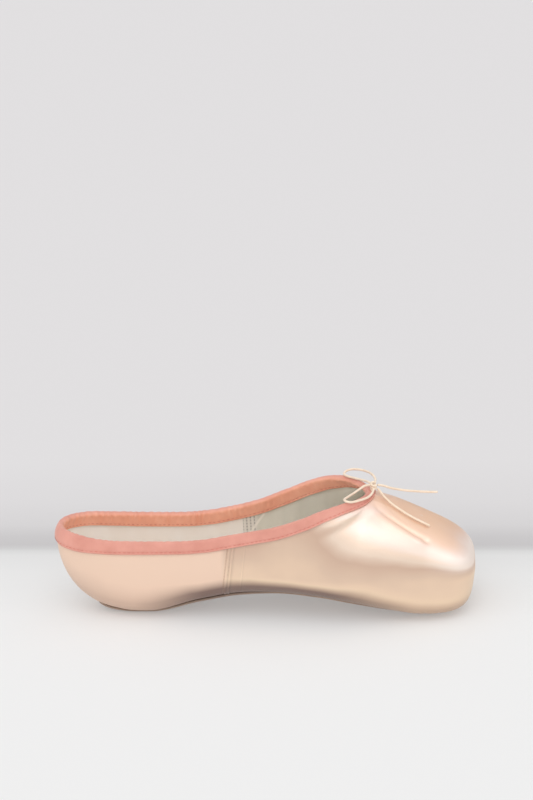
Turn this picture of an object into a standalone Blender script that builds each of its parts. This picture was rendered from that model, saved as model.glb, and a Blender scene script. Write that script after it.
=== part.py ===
"""Pointe shoe, empty, standing on its outsole.

Metres. +X runs from heel to toe, +Z is up and the shoe is the same on both sides of y = 0.
The origin is on the floor, under the middle of the shoe's length.
"""
import math
from collections import namedtuple

import bmesh
import bpy
from mathutils import Vector

MM = 0.001

# Driving sizes of the last
LENGTH = 240 * MM
BALL_WIDTH = 74 * MM
INSTEP_HEIGHT = 69.5 * MM
ARCH_RISE = 10.5 * MM
HEEL_ROUND = 42 * MM
TOE_ROUND = 30 * MM
HEEL_POWER = 2.15
TOE_POWER = 3.8
TOE_UNDERCUT = 0.10
BACK_LEAN = 2.4 * MM

# Where the collar closes in front, and how its sides come together there
THROAT = 0.75
THROAT_START = 0.60
THROAT_FLARE = 1.65
THROAT_ROUND = 0.5

# Walls and clearances
WALL = 1.3 * MM
BOX_WALL = 3.2 * MM
BOX_START = 0.7925
BOX_RAMP = 0.07
CLEARANCE = 0.3 * MM
BINDING_CLEARANCE = 0.5 * MM
SOLE_THICKNESS = 2.0 * MM
SOLE_FLAT_SHARE = 0.5
SOLE_BACK_SHARE = 0.50
SOLE_FRONT_SHARE = 0.40
FEATHER_SHARE = 0.72
INSOLE_THICKNESS = 2.0 * MM
INSOLE_CLEARANCE = 0.6 * MM
INSOLE_EDGE_SHARE = 1.55
INSOLE_REACH_SHARE = 0.8
BINDING_HEIGHT = 8.5 * MM
BINDING_LEG = 0.65 * MM
FOLD_OUT = 0.6
FOLD_UP = 0.8
SEAM_SHARE = 0.413
SEAM_WIDTH = 4.4 * MM
SEAM_SLOPE = 0.5 * MM
SEAM_RAISE = 0.4 * MM
SEAM_STOP = 1.0 * MM
SEAM_FOOT_SHARE = 1.1

# Drawstring
CORD = 1.4 * MM
CORD_SPACING = 3.0
KNOT_PLACE = (63.2, 0.6, 71.3)
KNOT_SIZE = (4.0, 4.4, 5.2)
KNOT_WAIST = 0.14

# Steps of the faceting
HEEL_STEPS = 10
COLLAR_STEPS = 20
COLLAR_CROWDING = 2
VAMP_STEPS = 7
VAMP_CROWDING = 1.5
TOE_STEPS = 9
BELLY_STEPS = 5
WALL_STEPS = 9
WALL_CROWDING = 0.85
BINDING_STEPS = 3
SOLE_ROWS = (0.0, SOLE_FLAT_SHARE, 0.78, 1.0)
INSOLE_ROWS = (0.0, 0.4, 0.75, 1.0)
ROUTE_STEPS = 12
CORD_RESOLUTION = 2
KNOT_SEGMENTS = 10
KNOT_RINGS = 7
SMOOTH_ANGLE = math.radians(40)

# Sections of the last. share: place along the length, from the heel. width: half width, sole: half
# width of the outsole, both as shares of half the ball width. skive: thickness of the outsole, as a
# share of SOLE_THICKNESS. rise: the sole's lift, as a share of ARCH_RISE. girdle and crown: height of
# the widest place and of the top, as shares of INSTEP_HEIGHT. belly and brow: powers of the curve
# below and above the girdle.
Section = namedtuple("Section", "share width sole skive rise girdle crown belly brow")
LAST = [
    Section(0.00, 0.700, 0.22, 0.55, 0.00, 0.66, 1.000, 2.15, 2.2),
    Section(0.10, 0.700, 0.24, 0.55, 0.00, 0.55, 1.000, 2.40, 2.2),
    Section(0.22, 0.710, 0.26, 0.60, 0.00, 0.42, 1.000, 2.90, 2.2),
    Section(0.34, 0.720, 0.30, 0.95, 0.58, 0.40, 1.000, 2.50, 2.2),
    Section(0.44, 0.750, 0.31, 1.00, 0.95, 0.42, 1.000, 2.30, 2.2),
    Section(0.53, 0.840, 0.35, 1.00, 1.06, 0.42, 1.000, 2.40, 2.2),
    Section(0.63, 0.950, 0.46, 1.00, 0.90, 0.40, 1.000, 2.50, 2.2),
    Section(0.70, 1.000, 0.52, 0.90, 0.64, 0.38, 1.000, 2.70, 2.2),
    Section(0.75, 1.005, 0.54, 0.75, 0.44, 0.37, 0.978, 3.00, 2.2),
    Section(0.82, 0.965, 0.53, 0.60, 0.16, 0.36, 0.868, 3.60, 2.5),
    Section(0.86, 0.925, 0.50, 0.55, 0.00, 0.36, 0.795, 4.00, 2.7),
    Section(0.92, 0.870, 0.44, 0.55, 0.00, 0.36, 0.690, 4.60, 2.8),
    Section(1.00, 0.800, 0.36, 0.55, 0.00, 0.36, 0.560, 4.60, 3.0),
]

# Rim of the upper, from the back to the throat: height as a share of INSTEP_HEIGHT, half width as a
# share of half the ball width. strip and hem: height of the binding's leg outside and inside, as
# shares of BINDING_HEIGHT.
Rim = namedtuple("Rim", "share height width strip hem")
COLLAR = [
    Rim(0.00, 0.760, 0.480, 1.00, 0.90),
    Rim(0.06, 0.740, 0.531, 0.98, 0.90),
    Rim(0.12, 0.713, 0.609, 0.80, 0.90),
    Rim(0.20, 0.698, 0.636, 0.74, 0.90),
    Rim(0.30, 0.692, 0.634, 0.72, 0.90),
    Rim(0.36, 0.704, 0.647, 0.72, 0.90),
    Rim(0.42, 0.738, 0.653, 0.72, 0.89),
    Rim(0.48, 0.779, 0.696, 0.70, 0.88),
    Rim(0.54, 0.836, 0.801, 0.69, 0.86),
    Rim(0.60, 0.908, 0.839, 0.66, 0.84),
    Rim(0.66, 0.972, 0.743, 0.61, 0.84),
    Rim(0.70, 0.988, 0.562, 0.56, 0.74),
    Rim(0.75, 0.978, 0.000, 0.48, 0.52),
]

# Routes of the cord in mm, from the knot and, for a loop, back to it.
ROUTES = {
    "drawstring_loop_far": [
        (62.0, 2.9, 71.7), (59.9, 7.8, 71.4), (55.4, 13.3, 70.8), (51.0, 17.2, 70.6), (47.9, 19.9, 70.6),
        (45.7, 23.0, 70.7), (46.4, 26.0, 71.3), (48.7, 27.6, 71.8), (51.7, 27.5, 72.1), (55.7, 25.0, 72.5),
        (59.8, 20.0, 72.9), (62.5, 14.0, 73.2), (64.1, 7.8, 72.9), (63.9, 3.4, 72.5),
    ],
    "drawstring_loop_near": [
        (61.1, -0.4, 72.5), (58.2, -3.6, 73.1), (55.9, -6.6, 72.6), (51.8, -11.5, 71.4), (49.1, -15.0, 70.9),
        (47.4, -18.8, 70.9), (48.2, -22.0, 71.0), (50.6, -22.5, 70.6), (53.4, -20.6, 70.2),
        (57.8, -15.8, 69.7), (60.5, -11.5, 69.4), (62.4, -7.0, 69.8), (63.35, -2.3, 70.6),
    ],
    "drawstring_end_far": [
        (65.6, 1.5, 71.8), (68.9, 3.0, 70.6), (73.0, 4.5, 68.6), (77.5, 6.0, 67.1), (81.7, 7.5, 65.8),
        (88.2, 9.5, 64.4), (94.6, 11.0, 63.4), (99.5, 12.0, 62.9),
    ],
    "drawstring_end_near": [
        (65.4, 0.2, 70.0), (66.8, -0.5, 68.6), (69.0, -2.6, 66.2), (72.9, -5.9, 63.4), (77.4, -8.8, 60.9),
        (81.6, -10.4, 58.5), (85.8, -11.5, 56.2), (90.2, -11.9, 53.9), (94.7, -12.4, 51.6),
    ],
}

BACK_X = -LENGTH / 2
HEEL_AXIS = BACK_X + HEEL_ROUND
TOE_AXIS = -BACK_X - TOE_ROUND
THROAT_X = BACK_X + THROAT * LENGTH
SEAM_X = BACK_X + SEAM_SHARE * LENGTH

# The surface is spanned by columns. Each starts on the axis at axis_x and reaches out, in plan, to
# the outline. stretch counts through them: 0 to 1 round the heel, 1 to 2 along the side, 2 to 3
# round the toe.
Column = namedtuple("Column", "axis_x reach_x reach_y share")


def read(table, name, share):
    """A named column of a table at a share of the length, on a smooth curve that never overshoots."""
    shares = [row.share for row in table]
    values = [getattr(row, name) for row in table]
    share = min(max(share, shares[0]), shares[-1])
    k = max(i for i in range(len(shares) - 1) if shares[i] <= share)

    def slope(i):
        left = (values[i] - values[i - 1]) / (shares[i] - shares[i - 1]) if i > 0 else None
        right = (values[i + 1] - values[i]) / (shares[i + 1] - shares[i]) if i + 1 < len(shares) else None
        if left is None or right is None:
            return right if left is None else left
        if left * right <= 0:
            return 0.0
        return 2 * left * right / (left + right)

    step = shares[k + 1] - shares[k]
    t = (share - shares[k]) / step
    rise = values[k + 1] - values[k]
    start = slope(k) * step
    end = slope(k + 1) * step
    return values[k] + t * (start + t * (3 * rise - 2 * start - end + t * (start + end - 2 * rise)))


def share_of(x):
    return (x - BACK_X) / LENGTH


def half_width(x):
    return BALL_WIDTH / 2 * read(LAST, "width", share_of(x))


def power(base, exponent):
    return math.copysign(abs(base) ** exponent, base)


def column(stretch):
    """The column at a stretch; past either end it is the mirrored one on the other side."""
    side = 1.0
    if stretch < 0:
        stretch, side = -stretch, -1.0
    if stretch > 3:
        stretch, side = 6 - stretch, -1.0
    if stretch < 1:
        turn = stretch * math.pi / 2
        reach_x = -HEEL_ROUND * power(math.cos(turn), 2 / HEEL_POWER)
        reach_y = half_width(HEEL_AXIS) * power(math.sin(turn), 2 / HEEL_POWER)
        axis_x = HEEL_AXIS
    elif stretch <= 2:
        axis_x = HEEL_AXIS + (stretch - 1) * (TOE_AXIS - HEEL_AXIS)
        reach_x = 0.0
        reach_y = half_width(axis_x)
    else:
        turn = (stretch - 2) * math.pi / 2
        axis_x = TOE_AXIS
        reach_x = TOE_ROUND * power(math.sin(turn), 2 / TOE_POWER)
        reach_y = half_width(TOE_AXIS + reach_x) * power(max(0.0, math.cos(turn)), 2 / TOE_POWER)
    return Column(axis_x, reach_x, side * reach_y, share_of(axis_x + reach_x))


def stretch_of(x):
    """The stretch of the side column at x."""
    return 1 + (x - HEEL_AXIS) / (TOE_AXIS - HEEL_AXIS)


def rim_half_width(share):
    if share <= THROAT_START:
        return BALL_WIDTH / 2 * read(COLLAR, "width", share)
    near = min(1.0, (share - THROAT_START) / (THROAT - THROAT_START))
    start = BALL_WIDTH / 2 * read(COLLAR, "width", THROAT_START)
    return start * (1 - near ** THROAT_FLARE) ** THROAT_ROUND


def rim_of(col):
    """Where the collar cuts a column: its share of the reach, and its height."""
    if col.reach_x < 0:
        reach = math.hypot(col.reach_x, col.reach_y)
        back = abs(col.reach_x) / HEEL_ROUND
        flank = half_width(HEEL_AXIS) - rim_half_width(share_of(HEEL_AXIS))
        cut = 1 - (flank * (1 - back) + BACK_LEAN * back) / reach
    else:
        cut = rim_half_width(col.share) / abs(col.reach_y)
    return cut, INSTEP_HEIGHT * read(COLLAR, "height", share_of(col.axis_x + cut * col.reach_x))


def girdle(col):
    return INSTEP_HEIGHT * read(LAST, "girdle", col.share)


def sole_level(x):
    """Height of the outsole's lowest line above the floor."""
    return ARCH_RISE * read(LAST, "rise", share_of(x))


def floor_of(x):
    """Height of the upper's lowest line above the floor."""
    return sole_level(x) + SOLE_THICKNESS * read(LAST, "skive", share_of(x)) + CLEARANCE


def last_point(stretch, angle):
    """A point of the outer surface. angle: 0 at the girdle, a quarter turn up or down on the axis."""
    col = column(stretch)
    above = angle > 0
    bend = read(LAST, "brow" if above else "belly", col.share)
    cut = power(math.cos(angle), 2 / bend)
    lift = abs(math.sin(angle)) ** (2 / bend)
    reach_x = col.reach_x
    if reach_x > 0 and not above:
        reach_x *= 1 - TOE_UNDERCUT * lift
    x = col.axis_x + cut * reach_x
    level = girdle(col)
    if above and col.share < THROAT:
        rim_cut, rim_height = rim_of(col)
        top = level + (rim_height - level) / max(1e-6, 1 - rim_cut ** bend) ** (1 / bend)
    elif above:
        top = INSTEP_HEIGHT * read(LAST, "crown", share_of(x))
    else:
        top = floor_of(x)
    return Vector((x, cut * col.reach_y, level + (top - level) * lift))


def rim_angle(stretch):
    col = column(stretch)
    if col.share >= THROAT - 1e-9:
        return math.pi / 2
    bend = read(LAST, "brow", col.share)
    return math.acos(min(1.0, rim_of(col)[0]) ** (bend / 2))


def belly_angle(stretch, cut):
    """The angle below the girdle at which a column is cut times its reach from the axis."""
    return -math.acos(min(1.0, cut) ** (read(LAST, "belly", column(stretch).share) / 2))


def outward(stretch, angle):
    """Unit normal of the outer surface."""
    step = 1e-4
    if abs(angle) > math.pi / 2 - step:
        stretch = min(max(stretch, 1.0 + step), 2.0 - step)
    along = last_point(stretch + step, angle) - last_point(stretch - step, angle)
    up = last_point(stretch, angle + step) - last_point(stretch, angle - step)
    normal = up.cross(along).normalized()
    if abs(column(stretch).reach_y) < 1e-9 or abs(angle) > math.pi / 2 - step:
        normal.y = 0.0
        normal.normalize()
    return normal


def wall_at(share):
    """Thickness of the upper's wall, thicker at the box."""
    t = min(1.0, max(0.0, (share - BOX_START) / BOX_RAMP))
    return WALL + (BOX_WALL - WALL) * t * t * (3 - 2 * t)


def offset_point(stretch, angle, distance):
    """A point at a distance outside the outer surface, or inside it where the distance is negative."""
    return last_point(stretch, angle) + distance * outward(stretch, angle)


def mirrored(point):
    return Vector((point.x, -point.y, point.z))


def full_loop(half):
    """A closed loop round the shoe from its half at +y, which runs from heel to toe on y = 0."""
    return half + [mirrored(point) for point in reversed(half[1:-1])]


def make_material(name, color, roughness, sheen=0.0):
    material = bpy.data.materials.new(name)
    material.use_nodes = True
    shader = material.node_tree.nodes["Principled BSDF"]
    shader.inputs["Base Color"].default_value = (*color, 1.0)
    shader.inputs["Roughness"].default_value = roughness
    shader.inputs["Metallic"].default_value = 0.0
    shader.inputs["Sheen Weight"].default_value = sheen
    material.diffuse_color = (*color, 1.0)
    return material


def add_object(name, data, material):
    obj = bpy.data.objects.new(name, data)
    obj.data.materials.append(material)
    bpy.context.scene.collection.objects.link(obj)
    return obj


def loft(name, loops, closed, material):
    """A solid skinned over closed loops of points, the last joined to the first where closed."""
    mesh = bmesh.new()
    rows = [[mesh.verts.new(point) for point in loop] for loop in loops]
    pairs = list(zip(rows, rows[1:] + rows[:1]))
    for low, high in pairs if closed else pairs[:-1]:
        for i in range(len(low)):
            corners = [low[i], low[i - 1], high[i - 1], high[i]]
            if any(abs(corner.co.y) > 1e-7 for corner in corners):
                mesh.faces.new(corners)
    bmesh.ops.remove_doubles(mesh, verts=mesh.verts, dist=1e-6)
    bmesh.ops.recalc_face_normals(mesh, faces=mesh.faces)
    data = bpy.data.meshes.new(name)
    mesh.to_mesh(data)
    mesh.free()
    data.shade_smooth()
    data.set_sharp_from_angle(angle=SMOOTH_ANGLE)
    return add_object(name, data, material)


def seam_raise(stretch, angle):
    """Lift of the lapped seam above the rest of the wall, up to just under the binding."""
    if not 1 < stretch < 2:
        return 0.0
    top = last_point(stretch, rim_angle(stretch)).z - BINDING_HEIGHT - SEAM_STOP
    if last_point(stretch, angle).z > top or angle < belly_angle(stretch, SEAM_FOOT_SHARE * sole_cut(stretch)):
        return 0.0
    inside = SEAM_WIDTH / 2 - abs(column(stretch).axis_x - SEAM_X)
    return SEAM_RAISE * min(1.0, max(0.0, inside / SEAM_SLOPE))


def stretches():
    """Columns from heel to toe, close together at the throat and at the edges of the seam."""
    heel = [i / HEEL_STEPS for i in range(HEEL_STEPS)]
    edges = [-SEAM_WIDTH / 2, SEAM_SLOPE - SEAM_WIDTH / 2, SEAM_WIDTH / 2 - SEAM_SLOPE, SEAM_WIDTH / 2]
    collar = [THROAT_X - (THROAT_X - HEEL_AXIS) * (1 - i / COLLAR_STEPS) ** COLLAR_CROWDING
              for i in range(COLLAR_STEPS)]
    collar = [x for x in collar if abs(x - SEAM_X) > SEAM_WIDTH] + [SEAM_X + edge for edge in edges]
    vamp = [THROAT_X + (TOE_AXIS - THROAT_X) * (i / VAMP_STEPS) ** VAMP_CROWDING for i in range(VAMP_STEPS)]
    toe = [2 + i / TOE_STEPS for i in range(TOE_STEPS + 1)]
    return heel + [stretch_of(x) for x in sorted(collar) + vamp] + toe


def sole_cut(stretch):
    """Share of a column's reach that the outsole covers."""
    if stretch < 1:
        turn = math.sin(stretch * math.pi / 2) ** 2
        return SOLE_BACK_SHARE + (side_cut(1.0) - SOLE_BACK_SHARE) * turn
    if stretch > 2:
        turn = math.cos((stretch - 2) * math.pi / 2) ** 2
        return SOLE_FRONT_SHARE + (side_cut(2.0) - SOLE_FRONT_SHARE) * turn
    return side_cut(stretch)


def side_cut(stretch):
    x = column(stretch).axis_x
    return BALL_WIDTH / 2 * read(LAST, "sole", share_of(x)) / half_width(x)


def make_upper(material):
    outer = []
    inner = []
    for i in range(BELLY_STEPS + WALL_STEPS + 1):
        outside = []
        inside = []
        for stretch in stretches():
            start = belly_angle(stretch, FEATHER_SHARE * sole_cut(stretch))
            if i < BELLY_STEPS:
                angle = start * (1 - i / BELLY_STEPS)
            else:
                angle = rim_angle(stretch) * ((i - BELLY_STEPS) / WALL_STEPS) ** WALL_CROWDING
            share = column(stretch).share
            outside.append(offset_point(stretch, angle, seam_raise(stretch, angle)))
            inside.append(offset_point(stretch, angle, -wall_at(share)))
        outer.append(full_loop(outside))
        inner.append(full_loop(inside))
    return loft("upper", outer + inner[::-1], True, material)


def make_outsole(material):
    """A thin sole under the upper, level at heel and forefoot, bent up with the upper at its edge."""

    def under(stretch, cut):
        return last_point(stretch, belly_angle(stretch, cut))

    tops = []
    bottoms = []
    for row in SOLE_ROWS:
        top = []
        bottom = []
        for stretch in stretches():
            cut = sole_cut(stretch)
            point = under(stretch, row * cut)
            top.append(point - Vector((0, 0, CLEARANCE)))
            lift = point.z - floor_of(point.x)
            flat = under(stretch, SOLE_FLAT_SHARE * cut)
            spare = max(0.0, lift - (flat.z - floor_of(flat.x)))
            level = sole_level(point.x) + (spare if row > SOLE_FLAT_SHARE else 0.0)
            bottom.append(Vector((point.x, point.y, level)))
        tops.append(full_loop(top))
        bottoms.append(full_loop(bottom))
    return loft("outsole", tops + bottoms[::-1], False, material)


def make_insole(material):
    """The sock inside, over the opening that the outsole closes."""
    lower = []
    upper = []
    for row in INSOLE_ROWS:
        low = []
        high = []
        for stretch in stretches():
            angle = belly_angle(stretch, row * min(INSOLE_REACH_SHARE, INSOLE_EDGE_SHARE * sole_cut(stretch)))
            seat = wall_at(column(stretch).share) + INSOLE_CLEARANCE
            low.append(offset_point(stretch, angle, -seat))
            high.append(offset_point(stretch, angle, -seat - INSOLE_THICKNESS))
        lower.append(full_loop(low))
        upper.append(full_loop(high))
    return loft("insole", lower + upper[::-1], False, material)


def stretch_and_angle(point):
    """The place on the outer surface straight out from its axis through a point above the girdle."""
    if point.x < HEEL_AXIS:
        back = abs(point.x - HEEL_AXIS) / HEEL_ROUND
        flank = abs(point.y) / half_width(HEEL_AXIS)
        stretch = math.atan2(flank ** (HEEL_POWER / 2), back ** (HEEL_POWER / 2)) / (math.pi / 2)
        reach = (back ** HEEL_POWER + flank ** HEEL_POWER) ** (1 / HEEL_POWER)
    else:
        stretch = stretch_of(point.x)
        reach = abs(point.y) / half_width(point.x)
    col = column(stretch)
    bend = read(LAST, "brow", col.share)
    level = girdle(col)
    top = last_point(stretch, math.pi / 2).z
    lift = max(0.0, (point.z - level) / (top - level))
    return stretch, math.atan2(lift ** (bend / 2), reach ** (bend / 2))


def binding_rows(leg):
    """Points and normals down from the rim, for each place along it, on the outer surface. leg names
    the column of COLLAR that says how far down."""
    path = [stretch for stretch in stretches() if column(stretch).share < THROAT + 1e-6]
    rim = [last_point(stretch, rim_angle(stretch)) for stretch in path]
    rows = []
    for i, stretch in enumerate(path):
        before = rim[i - 1] if i else mirrored(rim[1])
        after = rim[i + 1] if i + 1 < len(rim) else mirrored(rim[-2])
        tangent = (after - before).normalized()
        place = (stretch, rim_angle(stretch))
        row = [(rim[i], outward(*place))]
        height = BINDING_HEIGHT * read(COLLAR, leg, share_of(rim[i].x))
        for _ in range(BINDING_STEPS):
            point, normal = row[-1]
            down = normal.cross(tangent).normalized()
            if i in (0, len(path) - 1):
                down.y = 0.0
            ahead = point + down * height / BINDING_STEPS
            place = stretch_and_angle(ahead)
            found = last_point(*place)
            if i in (0, len(path) - 1):
                found.y = 0.0
            row.append((found, outward(*place)))
        rows.append(row)
    return rows


def make_binding(material):
    """A folded strip over the rim: a leg outside, a leg inside and the fold above."""
    outside = BINDING_CLEARANCE + BINDING_LEG
    inside = -WALL - BINDING_CLEARANCE - BINDING_LEG
    strip = binding_rows("strip")
    hem = binding_rows("hem")
    down = list(range(BINDING_STEPS, -1, -1))
    section = [(strip, k, outside, 0.0) for k in down]
    section += [(strip, 0, FOLD_OUT * outside, FOLD_UP * outside), (strip, 0, -WALL / 2, outside)]
    section += [(hem, 0, -WALL + FOLD_OUT * (inside + WALL), FOLD_UP * outside)]
    section += [(hem, k, inside, 0.0) for k in reversed(down)]
    section += [(hem, k, -WALL - BINDING_CLEARANCE, 0.0) for k in down[:-1]]
    section += [(hem, 0, -WALL - BINDING_CLEARANCE, BINDING_CLEARANCE)]
    section += [(strip, 0, BINDING_CLEARANCE, BINDING_CLEARANCE)]
    section += [(strip, k, BINDING_CLEARANCE, 0.0) for k in reversed(down[:-1])]
    loops = []
    for rows, k, out, above in section:
        loop = []
        for row in rows:
            point, normal = row[k]
            up = (row[0][0] - row[1][0]).normalized()
            loop.append(point + out * normal + above * up)
        loops.append(full_loop(loop))
    return loft("collar_binding", loops, True, material)


def smooth_route(points, spacing):
    """Points at an even spacing on a smooth curve through the route's own points."""
    points = [MM * Vector(point) for point in points]
    padded = [2 * points[0] - points[1]] + points + [2 * points[-1] - points[-2]]
    fine = []
    for k in range(1, len(padded) - 2):
        a, b, c, d = padded[k - 1:k + 3]
        for i in range(ROUTE_STEPS):
            t = i / ROUTE_STEPS
            fine.append(b + 0.5 * t * (c - a + t * (2 * a - 5 * b + 4 * c - d + t * (3 * b - a - 3 * c + d))))
    fine.append(points[-1])
    lengths = [0.0]
    for before, after in zip(fine, fine[1:]):
        lengths.append(lengths[-1] + (after - before).length)
    count = max(2, round(lengths[-1] / spacing))
    route = []
    for i in range(count + 1):
        wanted = lengths[-1] * i / count
        k = next(j for j in range(1, len(fine)) if lengths[j] >= wanted - 1e-12)
        part = (wanted - lengths[k - 1]) / (lengths[k] - lengths[k - 1])
        route.append(fine[k - 1].lerp(fine[k], part))
    return route


def make_cord(name, material):
    data = bpy.data.curves.new(name, "CURVE")
    data.dimensions = "3D"
    data.bevel_depth = CORD / 2
    data.bevel_resolution = CORD_RESOLUTION
    data.use_fill_caps = True
    data.render_resolution_u = 0
    route = smooth_route(ROUTES[name], CORD_SPACING * CORD)
    spline = data.splines.new("POLY")
    spline.points.add(len(route) - 1)
    for place, point in zip(spline.points, route):
        place.co = (*point, 1.0)
    return add_object(name, data, material)


def make_knot(material):
    """A small upright bead with a waist where the loops wrap it."""
    mesh = bmesh.new()
    bmesh.ops.create_uvsphere(mesh, u_segments=KNOT_SEGMENTS, v_segments=KNOT_RINGS, radius=0.5)
    for vert in mesh.verts:
        slim = 1 - KNOT_WAIST * math.cos(math.pi * vert.co.z) ** 2
        place = Vector((vert.co.x * slim, vert.co.y * slim, vert.co.z))
        vert.co = [MM * (centre + size * along) for centre, size, along in zip(KNOT_PLACE, KNOT_SIZE, place)]
    data = bpy.data.meshes.new("drawstring_knot")
    mesh.to_mesh(data)
    mesh.free()
    data.shade_smooth()
    return add_object("drawstring_knot", data, material)


def main():
    for obj in list(bpy.data.objects):
        bpy.data.objects.remove(obj, do_unlink=True)
    satin = make_material("satin", (0.80, 0.61, 0.48), 0.32, 0.3)
    leather = make_material("sole_leather", (0.42, 0.31, 0.22), 0.7)
    lining = make_material("lining", (0.78, 0.70, 0.58), 0.9)
    ribbon = make_material("binding_cotton", (0.72, 0.35, 0.25), 0.8)
    make_upper(satin)
    make_outsole(leather)
    make_insole(lining)
    make_binding(ribbon)
    cord = make_material("drawstring_cotton", (0.86, 0.73, 0.60), 0.6)
    make_knot(cord)
    for name in ROUTES:
        make_cord(name, cord)


main()
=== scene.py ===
"""Satin pointe shoe on a pale floor: materials, seams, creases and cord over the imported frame."""
import math
from collections import namedtuple

import bmesh
import bpy
import numpy as np
from mathutils import Matrix, Vector, noise


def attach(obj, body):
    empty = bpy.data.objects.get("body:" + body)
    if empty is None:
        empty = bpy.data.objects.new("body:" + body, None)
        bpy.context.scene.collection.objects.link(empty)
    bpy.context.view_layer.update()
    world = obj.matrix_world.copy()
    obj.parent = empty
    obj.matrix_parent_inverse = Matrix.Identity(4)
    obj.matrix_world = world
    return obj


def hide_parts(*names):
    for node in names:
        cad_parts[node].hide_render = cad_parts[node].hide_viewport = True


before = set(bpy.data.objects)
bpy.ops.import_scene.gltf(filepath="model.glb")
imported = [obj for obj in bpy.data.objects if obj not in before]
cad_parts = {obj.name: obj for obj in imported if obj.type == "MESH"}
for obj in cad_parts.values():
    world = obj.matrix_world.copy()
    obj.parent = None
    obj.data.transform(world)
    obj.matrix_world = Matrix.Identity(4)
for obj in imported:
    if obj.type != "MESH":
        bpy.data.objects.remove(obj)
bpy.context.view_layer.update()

MM = 0.001

# Sizes of the last, as in the part's source
LENGTH = 240 * MM
BALL_WIDTH = 74 * MM
INSTEP_HEIGHT = 69.5 * MM
ARCH_RISE = 10.5 * MM
HEEL_ROUND = 42 * MM
TOE_ROUND = 30 * MM
HEEL_POWER = 2.15
TOE_POWER = 3.8
TOE_UNDERCUT = 0.10
BACK_LEAN = 2.4 * MM
THROAT = 0.75
THROAT_START = 0.60
THROAT_FLARE = 1.65
THROAT_ROUND = 0.5
WALL = 1.3 * MM
BOX_WALL = 3.2 * MM
BOX_START = 0.7925
BOX_RAMP = 0.07
CLEARANCE = 0.3 * MM
BINDING_CLEARANCE = 0.5 * MM
SOLE_THICKNESS = 2.0 * MM
SOLE_FLAT = 0.5
SOLE_BACK = 0.50
SOLE_FRONT = 0.40
FEATHER = 0.72
INSOLE_THICKNESS = 2.0 * MM
INSOLE_CLEARANCE = 0.6 * MM
INSOLE_EDGE = 1.55
INSOLE_REACH = 0.8
BINDING_HEIGHT = 8.5 * MM
BINDING_LEG = 0.65 * MM
LEG_ROWS = 14
BINDING_RUN = 0.55
CORD = 1.4 * MM

Section = namedtuple("Section", "share width sole skive rise girdle crown belly brow")
LAST = [
    Section(0.00, 0.700, 0.22, 0.55, 0.00, 0.66, 1.000, 2.15, 2.2),
    Section(0.10, 0.700, 0.24, 0.55, 0.00, 0.55, 1.000, 2.40, 2.2),
    Section(0.22, 0.710, 0.26, 0.60, 0.00, 0.42, 1.000, 2.90, 2.2),
    Section(0.34, 0.720, 0.30, 0.95, 0.58, 0.40, 1.000, 2.50, 2.2),
    Section(0.44, 0.750, 0.31, 1.00, 0.95, 0.42, 1.000, 2.30, 2.2),
    Section(0.53, 0.840, 0.35, 1.00, 1.06, 0.42, 1.000, 2.40, 2.2),
    Section(0.63, 0.950, 0.46, 1.00, 0.90, 0.40, 1.000, 2.50, 2.2),
    Section(0.70, 1.000, 0.52, 0.90, 0.64, 0.38, 1.000, 2.70, 2.2),
    Section(0.75, 1.005, 0.54, 0.75, 0.44, 0.37, 0.978, 3.00, 2.2),
    Section(0.82, 0.965, 0.53, 0.60, 0.16, 0.36, 0.868, 3.60, 2.5),
    Section(0.86, 0.925, 0.50, 0.55, 0.00, 0.36, 0.795, 4.00, 2.7),
    Section(0.92, 0.870, 0.44, 0.55, 0.00, 0.36, 0.690, 4.60, 2.8),
    Section(1.00, 0.800, 0.36, 0.55, 0.00, 0.36, 0.560, 4.60, 3.0),
]
Rim = namedtuple("Rim", "share height width strip hem")
COLLAR = [
    Rim(0.00, 0.760, 0.480, 1.00, 0.90),
    Rim(0.06, 0.740, 0.531, 0.98, 0.90),
    Rim(0.12, 0.713, 0.609, 0.80, 0.90),
    Rim(0.20, 0.698, 0.636, 0.74, 0.90),
    Rim(0.30, 0.692, 0.634, 0.72, 0.90),
    Rim(0.36, 0.704, 0.647, 0.72, 0.90),
    Rim(0.42, 0.738, 0.653, 0.72, 0.89),
    Rim(0.48, 0.779, 0.696, 0.70, 0.88),
    Rim(0.54, 0.836, 0.801, 0.69, 0.86),
    Rim(0.60, 0.908, 0.839, 0.66, 0.84),
    Rim(0.66, 0.972, 0.743, 0.61, 0.84),
    Rim(0.70, 0.988, 0.562, 0.56, 0.74),
    Rim(0.75, 0.978, 0.000, 0.48, 0.52),
]
# The side seam's stitch line, and what lies past it, in mm along x
SEAM_TOP = Vector((-19.5, 0.0, 44.0)) * MM
SEAM_LEAN = 0.15
SEAM_FOLDS = (1.1, 3.1)
SEAM_GROOVE = 2.1
SEAM_DROP = 4.1
SEAM_EDGE = 9.9
TAPE = (-14.6, -7.4)
TAPE_STREAK = Vector((-3.6, 0.0, 43.8))
TAPE_STREAK_LEAN = 0.73

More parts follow.
